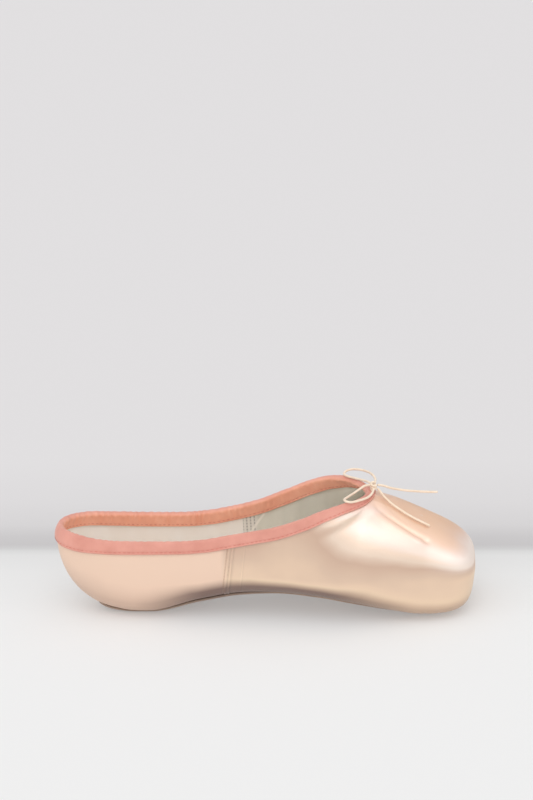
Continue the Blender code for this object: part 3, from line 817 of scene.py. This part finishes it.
def make_knot(centre):
    """A cord winding down about 2.6 turns round an upright axis."""
    sx, sy, sz = (np.array(KNOT_SIZE) * MM / 2 - CORD / 2 * 0.92)
    t = np.linspace(0, 1, 200)
    turn = 2 * math.pi * 2.6 * t
    wraps = np.stack([sx * np.cos(turn + 0.6), sy * np.sin(turn + 0.6),
                      sz * (1.0 - 2.0 * t) + 0.25 * MM * np.sin(turn)], axis=1)
    path = centre + wraps
    return tube("knot_of_cord", path, CORD / 2 * 0.95, CORD_COTTON, sides=16, ends=0.7 * MM)


make_bow()


# The satin upper
COLUMNS = 264
OUTER_ROWS = 104
INNER_ROWS = 34
SEAM_STEP = 0.3 * MM


def half_columns():
    throat = float(stretch_of(THROAT_X))
    heel = even_stretches(0, throat, 170)
    toe = even_stretches(throat, 3, COLUMNS - 169)
    seam = stretch_of(np.concatenate([np.arange(-25, -13.5, 0.3), np.arange(-13.3, -8.0, 0.4)]) * MM)
    clear = np.abs(heel[:, None] - seam[None, :]).min(axis=1) > stretch_of(SEAM_STEP) - stretch_of(0.0)
    return np.concatenate([np.sort(np.concatenate([heel[clear], seam])), toe[1:]])


CREASE = np.array([
    (61.5, -10.6, 67.6), (66.4, -14.7, 63.3), (71.1, -17.8, 60.1), (76.4, -20.1, 56.7), (81.7, -21.8, 53.6),
    (86.3, -23.1, 50.8), (90.6, -23.7, 48.4), (92.9, -24.4, 46.7), (95.7, -25.3, 44.9)]) * MM
CREASE_ABOVE = np.array([(66.8, -3.2, 65.2), (68.4, -3.9, 64.5), (71.9, -10.7, 61.9), (75.8, -15.0, 59.0),
                         (80.2, -17.4, 56.2), (84.5, -19.2, 53.4)]) * MM
DIMPLE = np.array([92.6, -24.2, 47.0]) * MM


def trough(points, line, depth, width, ends=0.15, swell=0.6, reach=4.0):
    """A soft hollow along a line, with a low swell beside it on the outer side, fading at both ends."""
    gap, place = line_distance(points, line)
    lengths = lengths_along(line)
    outer_side = points[..., 1] < np.interp(place, lengths / lengths[-1], line[:, 1])
    fade = smoothstep(place / ends) * smoothstep((1 - place) / ends)
    hollow = np.exp(-(gap / (width * np.where(outer_side, 0.8, 1.5))) ** 2)
    bank = np.where(outer_side, swell, 0.12) * np.exp(-((gap / width - reach * 0.7) / (reach * 0.5)) ** 2)
    return depth * fade * (bank - hollow)


def seam_x(points):
    """Distance in x past the side seam's stitch line, which leans back towards the sole."""
    return points[..., 0] - (SEAM_TOP.x - (SEAM_TOP.z - points[..., 2]) * SEAM_LEAN)


def outer_relief(points):
    """Height of the satin's relief over the plain last."""
    relief = 0.10 * MM * wander(points * np.array([0.6, 1, 1]), 26 * MM, 1, 2)
    relief += 0.05 * MM * wander(points * np.array([0.35, 1, 1]), 7 * MM, 2, 2)
    near = points[..., 1] < 0.002
    relief += np.where(near, trough(points, CREASE, 0.75 * MM, 1.3 * MM), 0.0)
    relief += np.where(near, trough(points, CREASE_ABOVE, 0.15 * MM, 1.4 * MM, swell=0.1), 0.0)
    dimple = np.linalg.norm(points - DIMPLE, axis=-1)
    relief -= 0.55 * MM * np.exp(-(dimple / (2.4 * MM)) ** 2)
    return relief


EASE_REACH = 16 * MM
EASE_ROUNDS = 240
EASE_BELOW_RIM = 8.5 * MM
EASE_FADE = 7 * MM


def near_throat(points):
    """Weight of the easing, from 1 at the throat down to 0."""
    return np.exp(-((points[..., 0] - THROAT_X) / EASE_REACH) ** 2)


def ease(values, weight):
    """Values of a grid, each drawn towards its neighbours in the columns beside it."""
    for _ in range(EASE_ROUNDS):
        mean = 0.25 * np.roll(values, 1, axis=1) + 0.5 * values + 0.25 * np.roll(values, -1, axis=1)
        values = values + weight * (mean - values)
    return values


def ease_throat(points, below_rim):
    """The surface with its join between collar and vamp eased, away from the rim."""
    past = points[0, :, 0] > THROAT_X
    free = smoothstep((below_rim - np.where(past, 0.0, EASE_BELOW_RIM)) / EASE_FADE)
    return ease(points, (near_throat(points) * free)[..., None])


def slope_of(points):
    """How far the surface faces up, from -1 to 1, eased from column to column."""
    along = np.roll(points, -1, axis=1) - np.roll(points, 1, axis=1)
    up = np.gradient(points, axis=0)
    facing = np.cross(along, up)
    tilt = facing[..., 2] / np.maximum(np.linalg.norm(facing, axis=-1), 1e-12)
    if tilt[-1].mean() < 0:
        tilt = -tilt
    return ease(tilt, near_throat(points))


def make_upper():
    stretches = both_halves(half_columns())
    low = belly_angle(stretches, FEATHER * sole_cut(stretches))
    high = rim_angle(stretches)
    outer_shares = np.linspace(0, 1, OUTER_ROWS)
    inner_shares = np.linspace(1, 0, INNER_ROWS)
    angles, arc = even_angles(stretches, low, high, outer_shares)
    points = last_point(stretches[None, :], angles)
    normals = outward(np.broadcast_to(stretches, angles.shape), angles)
    eased = ease_throat(points, (1 - outer_shares[:, None]) * arc[None, :])
    shift = np.array([np.interp(inner_shares, outer_shares, line) for line in
                      (eased - points).transpose(1, 2, 0).reshape(-1, OUTER_ROWS)])
    shift = shift.reshape(len(stretches), 3, INNER_ROWS).transpose(2, 0, 1)
    points = eased
    fade = smoothstep(outer_shares / 0.05)[:, None] * smoothstep((1 - outer_shares) / 0.03)[:, None]
    full_top = column(stretches).share >= THROAT - 1e-6
    fade = np.where(full_top[None, :], smoothstep(outer_shares / 0.05)[:, None], fade)
    edge = np.array([np.interp(cut, angles[:, j], outer_shares)
                     for j, cut in enumerate(belly_angle(stretches, sole_cut(stretches)))])
    above_sole = (outer_shares[:, None] - edge[None, :]) * arc[None, :]
    relief = outer_relief(points) * fade + seam_relief(points, stretches, above_sole)
    relief += pleats(points, stretches, angles)
    outer = points + relief[..., None] * normals
    inner_angles, _ = even_angles(stretches, low, high, inner_shares)
    inner_points = last_point(stretches[None, :], inner_angles)
    inner_normals = outward(np.broadcast_to(stretches, inner_angles.shape), inner_angles)
    wall = wall_at(column(stretches).share)[None, :] + lining_relief(inner_points, inner_shares[:, None])
    inner = inner_points + shift - wall[..., None] * inner_normals
    rows = np.concatenate([outer, inner])
    far_from_sole = np.full(inner_angles.shape, 99.0)
    along = lengths_along(last_point(stretches, 0.0))
    u = np.broadcast_to(along * 1000, (len(rows), len(stretches)))
    v = np.concatenate([outer_shares[:, None] * arc[None, :], inner_shares[:, None] * arc[None, :]]) * 1000
    uv = np.stack([u, v], axis=-1).reshape(-1, 2)
    faces, kinds = shell_faces(rows, wrap_rows=True)
    inside = (kinds >= OUTER_ROWS - 1) & (kinds < len(rows) - 1)
    piece = mesh_object("satin_upper", rows.reshape(-1, 3), faces, [SATIN, LINING], uv=uv,
                        face_materials=inside.astype(np.int32), merge=2e-6,
                        marks={"above_sole": np.concatenate([above_sole / MM, far_from_sole]),
                               "tilt": np.concatenate([slope_of(points), inner_normals[..., 2]])})
    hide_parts("upper")
    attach(piece, "root")
    return piece


def seam_relief(points, stretches, above_sole):
    """The lapped side seam: a stitch row, two proud folded edges, and the edge of the tape beneath."""
    d = seam_x(points) / MM
    rim = last_point(stretches, rim_angle(stretches))[None, :, 2]
    shown = smoothstep((rim - points[..., 2] - 4.5 * MM) / (1.5 * MM)) * smoothstep(above_sole / (1.0 * MM))
    shown = np.where(np.abs(points[..., 1]) > 8 * MM, shown, 0.0)

    def ridge(at, height, width):
        return height * np.exp(-((d - at) / width) ** 2)

    lap = 0.26 * smoothstep((d - 0.2) / 0.7) * (1 - smoothstep((d - 3.4) / 0.6))
    lines = (ridge(0.0, -0.22, 0.35) + ridge(SEAM_FOLDS[0], 0.14, 0.42) + ridge(SEAM_GROOVE, -0.20, 0.34)
             + ridge(SEAM_FOLDS[1], 0.18, 0.42) + ridge(SEAM_DROP, -0.12, 0.4)
             + ridge(SEAM_EDGE, 0.13, 0.36) + ridge(SEAM_EDGE + 0.7, -0.06, 0.3))
    return MM * (lap + lines) * shown


def lining_relief(points, share_up):
    """Soft upright wrinkles of the lining, and the tape over the side seam."""
    slack = smoothstep(share_up / 0.3) * smoothstep((1 - share_up) / 0.1)
    wrinkles = 0.16 * MM * wander(points * np.array([1.0, 0.5, 0.22]), 9 * MM, 8, 2) * slack
    x = points[..., 0] / MM
    tape = smoothstep((x - TAPE[0]) / 0.5) * (1 - smoothstep((x - TAPE[1] + 0.5) / 0.5))
    return wrinkles + 0.22 * MM * tape * (np.abs(points[..., 1]) > 8 * MM)


SeamRow = namedtuple("SeamRow", "offset pitch lowest raised")
SEAM_ROWS = [SeamRow(0.0, 1.9, 15.0, -0.16), SeamRow(SEAM_GROOVE, 2.3, 31.0, 0.10)]
SEAM_THREAD_RADIUS = 0.15 * MM


def seam_stitches():
    """Two rows of small stitches down each side seam."""
    stitches = []
    for side in (1, -1):
        for row in SEAM_ROWS:
            z = SEAM_TOP.z + 1.0 * MM
            while z > row.lowest * MM:
                path = []
                for drop, lift in ((0.15, -0.06), (0.5, 0.06), (0.85, -0.06)):
                    level = z - drop * row.pitch * MM
                    x = SEAM_TOP.x - (SEAM_TOP.z - level) * SEAM_LEAN + row.offset * MM
                    point, normal = on_side(x, level, side)
                    path.append(point + normal * (row.raised * MM + lift * MM))
                stitches.append(thread_rings(np.array(path), SEAM_THREAD_RADIUS))
                z -= row.pitch * MM
    piece = thread_mesh("stitches_of_side_seams", stitches, SEAM_THREAD)
    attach(piece, "root")


def on_side(x, level, side):
    """The outer surface's point and normal at x and a height, on one side."""
    stretch = float(stretch_of(x))
    stretch = stretch if side > 0 else 6 - stretch
    angles = np.linspace(-1.35, 1.2, 500)
    points = last_point(np.full(500, stretch), angles)
    angle = np.interp(level, points[:, 2], angles)
    return last_point(stretch, angle), outward(stretch, angle)


def thread_rings(path, radius, sides=6):
    """Rings of points of a thread along a short path, thin at its ends."""
    normals, binormals = frames_along(path)
    rings = []
    for i, point in enumerate(path):
        r = radius * (1.0 if 0 < i < len(path) - 1 else 0.55)
        rings.append(ring_round(point, r, normals[i], binormals[i], sides))
    return np.array(rings)


def pleats(points, stretches, angles):
    """Gathers of the satin under toe and heel, running in to the outsole's edge."""
    col = column(stretches)
    start = belly_angle(stretches, sole_cut(stretches))[None, :]
    inner_part = smoothstep((angles - start) / (0.30 - start))
    closeness = 1 - smoothstep(inner_part / 0.55)
    at_toe = smoothstep((folded(stretches) - 1.86) / 0.20)[None, :]
    at_heel = smoothstep((0.9 - folded(stretches)) / 0.4)[None, :]
    around = np.arctan2(points[..., 1], points[..., 0] - np.where(points[..., 0] > 0, TOE_AXIS, HEEL_AXIS))
    waves = np.sin(around * 34 + 1.3 * np.sin(around * 9)) * 0.5 + 0.5
    folds = -(1 - np.abs(np.sin(around * 17 + 1.3 * np.sin(around * 7)))) ** 3
    return MM * closeness * (at_toe * (0.34 * folds + 0.10 * waves - 0.1) + at_heel * 0.12 * folds)


make_upper()
seam_stitches()


# The folded binding round the collar
def stretch_and_angle(points):
    x, y, z = points[..., 0], points[..., 1], points[..., 2]
    back = np.abs(x - HEEL_AXIS) / HEEL_ROUND
    flank = np.abs(y) / half_width(HEEL_AXIS)
    round_s = np.arctan2(flank ** (HEEL_POWER / 2), back ** (HEEL_POWER / 2)) / (math.pi / 2)
    round_reach = (back ** HEEL_POWER + flank ** HEEL_POWER) ** (1 / HEEL_POWER)
    at_heel = x < HEEL_AXIS
    stretch = np.where(at_heel, round_s, stretch_of(x))
    reach = np.where(at_heel, round_reach, np.abs(y) / half_width(x))
    col = column(stretch)
    bend = read(LAST, "brow", col.share)
    level = girdle(col)
    top = last_point(stretch, np.full(stretch.shape, math.pi / 2))[..., 2]
    lift = np.maximum(0, (z - level) / (top - level))
    return stretch, np.arctan2(lift ** (bend / 2), reach ** (bend / 2))


RIM_COUNT = 620
STITCH_PITCH = 2.6 * MM
STITCH_INSET = 1.15 * MM
THREAD = 0.34 * MM


def rim_path():
    """Stretches from the back to the throat at even distances along the rim."""
    throat = float(stretch_of(THROAT_X))
    closing = throat - 0.25 * np.linspace(1, 0, 3000)[1:] ** 2
    fine = np.concatenate([np.linspace(0, throat - 0.25, 3000), closing])
    lengths = lengths_along(last_point(fine, rim_angle(fine)))
    return np.interp(np.linspace(0, lengths[-1], RIM_COUNT), lengths, fine)


def binding_lines(leg):
    """Rows of points and normals down from the rim for y above zero; leg is a column of COLLAR."""
    path = rim_path()
    rim = last_point(path, rim_angle(path))
    mirror = np.array([1, -1, 1])
    before = np.vstack([rim[1] * mirror, rim[:-1]])
    after = np.vstack([rim[1:], rim[-2] * mirror])
    tangent = unit(after - before)
    height = BINDING_HEIGHT * read(COLLAR, leg, share_of(rim[:, 0]))
    point, normal = rim, outward(path, rim_angle(path))
    rows = [(point, normal)]
    ends = np.zeros(len(path), bool)
    ends[[0, -1]] = True
    for _ in range(LEG_ROWS):
        down = unit(np.cross(normal, tangent))
        down[ends, 1] = 0.0
        ahead = point + down * (height / LEG_ROWS)[:, None]
        s, a = stretch_and_angle(ahead)
        point = last_point(s, a)
        point[ends, 1] = 0.0
        normal = outward(s, a)
        normal[ends, 1] = 0.0
        normal = unit(normal)
        rows.append((point, normal))
    return rows, height, lengths_along(rim)


def both_sides(half):
    """A closed loop from its half at y above zero, whose ends are on y = 0."""
    return np.concatenate([half, half[1:-1][::-1] * np.array([1, -1, 1])])


def binding_relief(arc, depth, height, inside, share):
    """Height of the binding's relief at places along the rim, at a share depth down from it."""
    across = depth * height
    stitches = 2 * math.pi * arc / STITCH_PITCH
    down = np.full(len(arc), 1.0) * across
    fine = wander(np.stack([arc, down * 0.45, np.full(len(arc), 0.1 * inside)], axis=-1), 3.2 * MM, 5, 2)
    slow = wander(np.stack([arc, down * 0.4, np.full(len(arc), 0.3 + 0.1 * inside)], axis=-1), 9 * MM, 6, 2)
    drift = wander(np.stack([arc, down * 0.3, np.full(len(arc), 0.7)], axis=-1), 12 * MM, 9, 1)
    cord = np.exp(-((across - 0.9 * MM) / (1.5 * MM)) ** 2)
    channel = np.exp(-((height - across - STITCH_INSET) / (0.55 * MM)) ** 2)
    pull = 0.5 + 0.5 * np.cos(stitches)
    ripple = np.cos(2 * math.pi * (arc / (4.1 * MM) + 0.8 * drift))
    heel = 1 - smoothstep((share - 0.30) / 0.25)
    gathers = (0.16 + 0.30 * heel) if inside else (0.04 + 0.05 * heel)
    gathers = gathers * (0.62 + 0.38 * np.sin(2 * math.pi * arc / arc.max()))
    relief = (0.16 if inside else 0.10) * fine * (0.45 + 0.55 * cord) + 0.10 * slow
    relief = relief + gathers * ripple * (0.35 + 0.65 * np.exp(-(across / (4.0 * MM)) ** 2))
    relief = relief + 0.10 * cord - channel * (0.24 + 0.14 * pull)
    free = np.clip((height - across) / (0.5 * MM), 0, 1)
    return MM * relief * (0.35 + 0.65 * free)


def make_binding():
    strip, strip_height, lengths = binding_lines("strip")
    hem, hem_height, _ = binding_lines("hem")
    up = both_sides(unit(strip[0][0] - strip[1][0]))
    total = lengths[-1]
    outside = BINDING_CLEARANCE + BINDING_LEG
    inside = -WALL - BINDING_CLEARANCE - BINDING_LEG
    arc = np.concatenate([lengths, total + (total - lengths[1:-1][::-1])])
    share = share_of(both_sides(strip[0][0])[:, 0])
    heights = {"strip": fold_over(strip_height), "hem": fold_over(hem_height)}
    legs = {"strip": strip, "hem": hem}
    section = [("strip", k, outside, 0.0) for k in range(LEG_ROWS, 0, -1)]
    middle, radius = (outside + inside) / 2, (outside - inside) / 2
    bends = [math.pi * i / 12 for i in range(13)]
    section += [("fold", 0, middle + radius * math.cos(bend), outside * math.sin(bend)) for bend in bends]
    section += [("hem", k, inside, 0.0) for k in range(1, LEG_ROWS + 1)]
    section += [("under hem", k, -WALL - BINDING_CLEARANCE, 0.0) for k in range(LEG_ROWS, 0, -1)]
    section += [("under strip", 0, -WALL - BINDING_CLEARANCE, BINDING_CLEARANCE),
                ("under strip", 0, BINDING_CLEARANCE, BINDING_CLEARANCE)]
    section += [("under strip", k, BINDING_CLEARANCE, 0.0) for k in range(1, LEG_ROWS + 1)]
    rim = both_sides(strip[0][0])
    rim_normal = both_sides(strip[0][1])
    axis = rim + rim_normal * middle
    loops = []
    uv = []
    run = 0.0
    for kind, k, out, above in section:
        leg = "hem" if "hem" in kind else "strip"
        point, normal = legs[leg][k]
        n = both_sides(normal)
        depth = k / LEG_ROWS
        if kind == "fold":
            blend = (middle + radius - out) / (2 * radius)
            relief = ((1 - blend) * binding_relief(arc, 0.0, heights["strip"], 0, share)
                      + blend * binding_relief(arc, 0.0, heights["hem"], 1, share))
            place = rim + n * out + up * above
            loops.append(place + unit(place - axis) * relief[:, None])
        else:
            relief = np.zeros(len(arc))
            if "under" not in kind:
                relief = binding_relief(arc, depth, heights[leg], int(leg == "hem"), share)
            relief = relief if leg == "strip" else -relief
            loops.append(both_sides(point) + n * (out + relief)[:, None] + up * above)
        uv.append(np.stack([arc * 1000, np.full(len(arc), run)], axis=1))
        run += BINDING_RUN
    count = len(loops[0])
    faces, _ = grid_faces(len(loops), count, wrap_rows=True)
    piece = mesh_object("binding_of_collar", np.concatenate(loops), faces, [BINDING], uv=np.concatenate(uv))
    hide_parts("collar_binding")
    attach(piece, "root")
    binding_stitches(strip, heights["strip"], arc, outside, 1)
    binding_stitches(hem, heights["hem"], arc, inside, -1)


def binding_stitches(leg, height, arc, out, side):
    """A row of short thread stitches, each drawn a little into the binding, along one leg's lower edge."""
    along = np.array([both_sides(point) + both_sides(normal) * out for point, normal in leg])
    normals = np.array([both_sides(normal) for _, normal in leg]) * side
    depth = 1 - STITCH_INSET / height

    def on_leg(a):
        j = np.interp(a, arc, np.arange(len(arc)))
        j0 = int(j)
        j1 = min(j0 + 1, len(arc) - 1)
        d = depth[j0] * LEG_ROWS
        k0 = min(int(d), LEG_ROWS - 1)
        past, down = j - j0, d - k0
        upper, lower = along[k0:k0 + 2, j0] * (1 - past) + along[k0:k0 + 2, j1] * past
        n = normals[k0, j0]
        return upper * (1 - down) + lower * down - n * 0.20 * MM, n

    stitches = []
    for i in range(int(arc[-1] / STITCH_PITCH)):
        start, end = (i + 0.16) * STITCH_PITCH, (i + 0.84) * STITCH_PITCH
        rings = []
        for step in range(7):
            t = step / 6
            spot, n = on_leg(start + (end - start) * t)
            before, _ = on_leg(start + (end - start) * t - 0.1 * MM)
            tangent = unit(spot - before)
            across = np.cross(n, tangent)
            swell = math.sqrt(max(0.04, 1 - (2 * t - 1) ** 2))
            spot = spot + n * (0.16 * MM * swell - 0.05 * MM)
            rings.append(ring_round(spot, THREAD * 0.5 * swell, n, across, 8))
        stitches.append(np.array(rings))
    name = "stitches_outside" if side > 0 else "stitches_inside"
    piece = thread_mesh(name, stitches, ROSE_THREAD)
    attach(piece, "root")


def fold_over(half):
    return np.concatenate([half, half[1:-1][::-1]])


make_binding()


# Outsole and insole
SOLE_CREVICE = 0.8 * MM


def make_outsole():
    stretches = both_halves(even_stretches(0, 3, 200))
    cuts = sole_cut(stretches)
    shares = np.concatenate([np.linspace(0, SOLE_FLAT, 9), np.linspace(SOLE_FLAT, 1, 16)[1:]])

    def under(share):
        return last_point(stretches, belly_angle(stretches, share * cuts))

    flat = under(SOLE_FLAT)
    flat_lift = flat[:, 2] - floor_of(flat[:, 0])
    tops, bottoms = [], []
    for share in shares:
        point = under(share)
        top = point.copy()
        gap = SOLE_CREVICE * read(LAST, "skive", share_of(point[:, 0])) * smoothstep((share - 0.86) / 0.12)
        top[:, 2] -= CLEARANCE + gap
        lift = point[:, 2] - floor_of(point[:, 0])
        spare = np.maximum(0, lift - flat_lift) if share > SOLE_FLAT else 0.0
        bottom = point.copy()
        bottom[:, 2] = sole_level(point[:, 0]) + spare
        groove = math.exp(-((share - 0.86) / 0.018) ** 2)
        edge = max(0.0, (share - 0.95) / 0.05)
        bottom[:, 2] += (0.28 * groove + 0.30 * edge * edge) * MM
        tops.append(top)
        bottoms.append(bottom)
    rows = np.array(tops + bottoms[::-1])
    faces, _ = shell_faces(rows)
    piece = mesh_object("leather_outsole", rows.reshape(-1, 3), faces, [LEATHER], merge=1e-6)
    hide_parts("outsole")
    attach(piece, "root")


def make_insole():
    stretches = both_halves(even_stretches(0, 3, 160))
    reach = np.minimum(INSOLE_REACH, INSOLE_EDGE * sole_cut(stretches))
    seat = wall_at(column(stretches).share) + INSOLE_CLEARANCE
    shares = np.linspace(0, 1, 22)
    lows, highs = [], []
    for share in shares:
        angle = belly_angle(stretches, share * reach)
        point = last_point(stretches, angle)
        normal = outward(stretches, angle)
        thick = INSOLE_THICKNESS * (1 - 0.35 * max(0.0, (share - 0.93) / 0.07) ** 2)
        lows.append(point - seat[:, None] * normal)
        highs.append(point - (seat + thick)[:, None] * normal)
    rows = np.array(lows + highs[::-1])
    faces, _ = shell_faces(rows)
    piece = mesh_object("cloth_insole", rows.reshape(-1, 3), faces, [SOCK], merge=1e-6)
    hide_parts("insole")
    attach(piece, "root")


make_outsole()
make_insole()


# Floor and light
HORIZON = (0.0465, 0.9989, 0.0860)
# Floor greys before and past the line behind the shoe; the darker greys on both sides of the line are
# painted shade where the floor meets the wall that the far greys stand for
NEAR_GREYS = [(0.0, 241), (0.35, 241), (0.75, 235), (0.93, 229), (1.0, 216)]
FAR_GREYS = [(0.0, 202), (0.12, 206), (0.25, 217), (0.5, 223), (1.0, 227)]
FLOOR_REACH = 9.0
FLOOR_GLOW = 0.28
SKY_FRONT = 1.28
SKY_BACK = 0.50
ROOM_LOW = 0.3
ROOM_HIGH = 1.5


def make_stage():
    """One floor, its tone changing past a line behind the shoe, with painted shade along the line; it glows
    a little to soften shadows.
    """
    n = Nodes("floor", Roughness=1.0, Specular_IOR_Level=0.0)
    x, y, _ = n.separate(n.coordinates())
    past = n.minus(n.plus(n.times(x, HORIZON[0]), n.times(y, HORIZON[1])), HORIZON[2])
    near = n.ramp(n.span(past, -0.16, 0.0), [(at, srgb(grey, grey, grey)) for at, grey in NEAR_GREYS])
    far = n.ramp(n.span(past, 0.0, 0.16), [(at, srgb(grey, grey - 2, grey - 1)) for at, grey in FAR_GREYS])
    tone = n.mix(n.span(past, -0.004, 0.006), near, far)
    n.color(n.tone(tone, 1.0 - FLOOR_GLOW))
    n.link(tone, n.shader.inputs["Emission Color"])
    n.shader.inputs["Emission Strength"].default_value = FLOOR_GLOW
    data = bpy.data.meshes.new("floor")
    corners = [(x * FLOOR_REACH, y * FLOOR_REACH, 0) for x, y in ((-1, -1), (1, -1), (1, 1), (-1, 1))]
    data.from_pydata(corners, [], [(0, 1, 2, 3)])
    data.materials.append(n.material)
    floor = bpy.data.objects.new("floor", data)
    bpy.context.scene.collection.objects.link(floor)


def sun_light(name, toward, strength, angle, glossy_only=False):
    """A soft light far away: angle is the width of the sky that it fills."""
    data = bpy.data.lights.new(name, "SUN")
    data.energy = strength
    data.angle = math.radians(angle)
    obj = bpy.data.objects.new(name, data)
    obj.rotation_euler = Vector(toward).to_track_quat("Z", "Y").to_euler()
    obj.visible_diffuse = not glossy_only
    bpy.context.scene.collection.objects.link(obj)


def make_light():
    """An even dome, brighter from the front; what is glossy mirrors a room that is dark at eye level."""
    bpy.context.scene.view_settings.view_transform = "Standard"
    world = bpy.data.worlds.new("studio")
    world.use_nodes = True
    tree = world.node_tree

    def node(kind, inputs=None, **settings):
        made = tree.nodes.new(kind)
        for key, value in settings.items():
            setattr(made, key, value)
        fill_inputs(tree, made, inputs)
        return made.outputs

    direction = node("ShaderNodeTexCoord")["Generated"]
    split = node("ShaderNodeSeparateXYZ", {"Vector": direction})
    dome = node("ShaderNodeMapRange", {"Value": split["Y"], "From Min": -1.0, "From Max": 1.0,
                                       "To Min": SKY_FRONT, "To Max": SKY_BACK})["Result"]
    room = node("ShaderNodeMapRange", {"Value": split["Z"], "From Min": 0.10, "From Max": 0.50,
                                       "To Min": ROOM_LOW, "To Max": ROOM_HIGH},
                interpolation_type="SMOOTHSTEP")["Result"]
    glossy = node("ShaderNodeLightPath")["Is Glossy Ray"]
    strength = node("ShaderNodeMix", {0: glossy, 2: dome, 3: room}, data_type="FLOAT")[0]
    tree.links.new(strength, tree.nodes["Background"].inputs["Strength"])
    tree.nodes["Background"].inputs["Color"].default_value = (1, 1, 1, 1)
    bpy.context.scene.world = world
    sun_light("key", (0.05, -0.55, 0.83), 0.34, 40)
    sun_light("sheen", (0.15, -0.40, 0.90), 0.9, 40, glossy_only=True)


make_stage()
make_light()
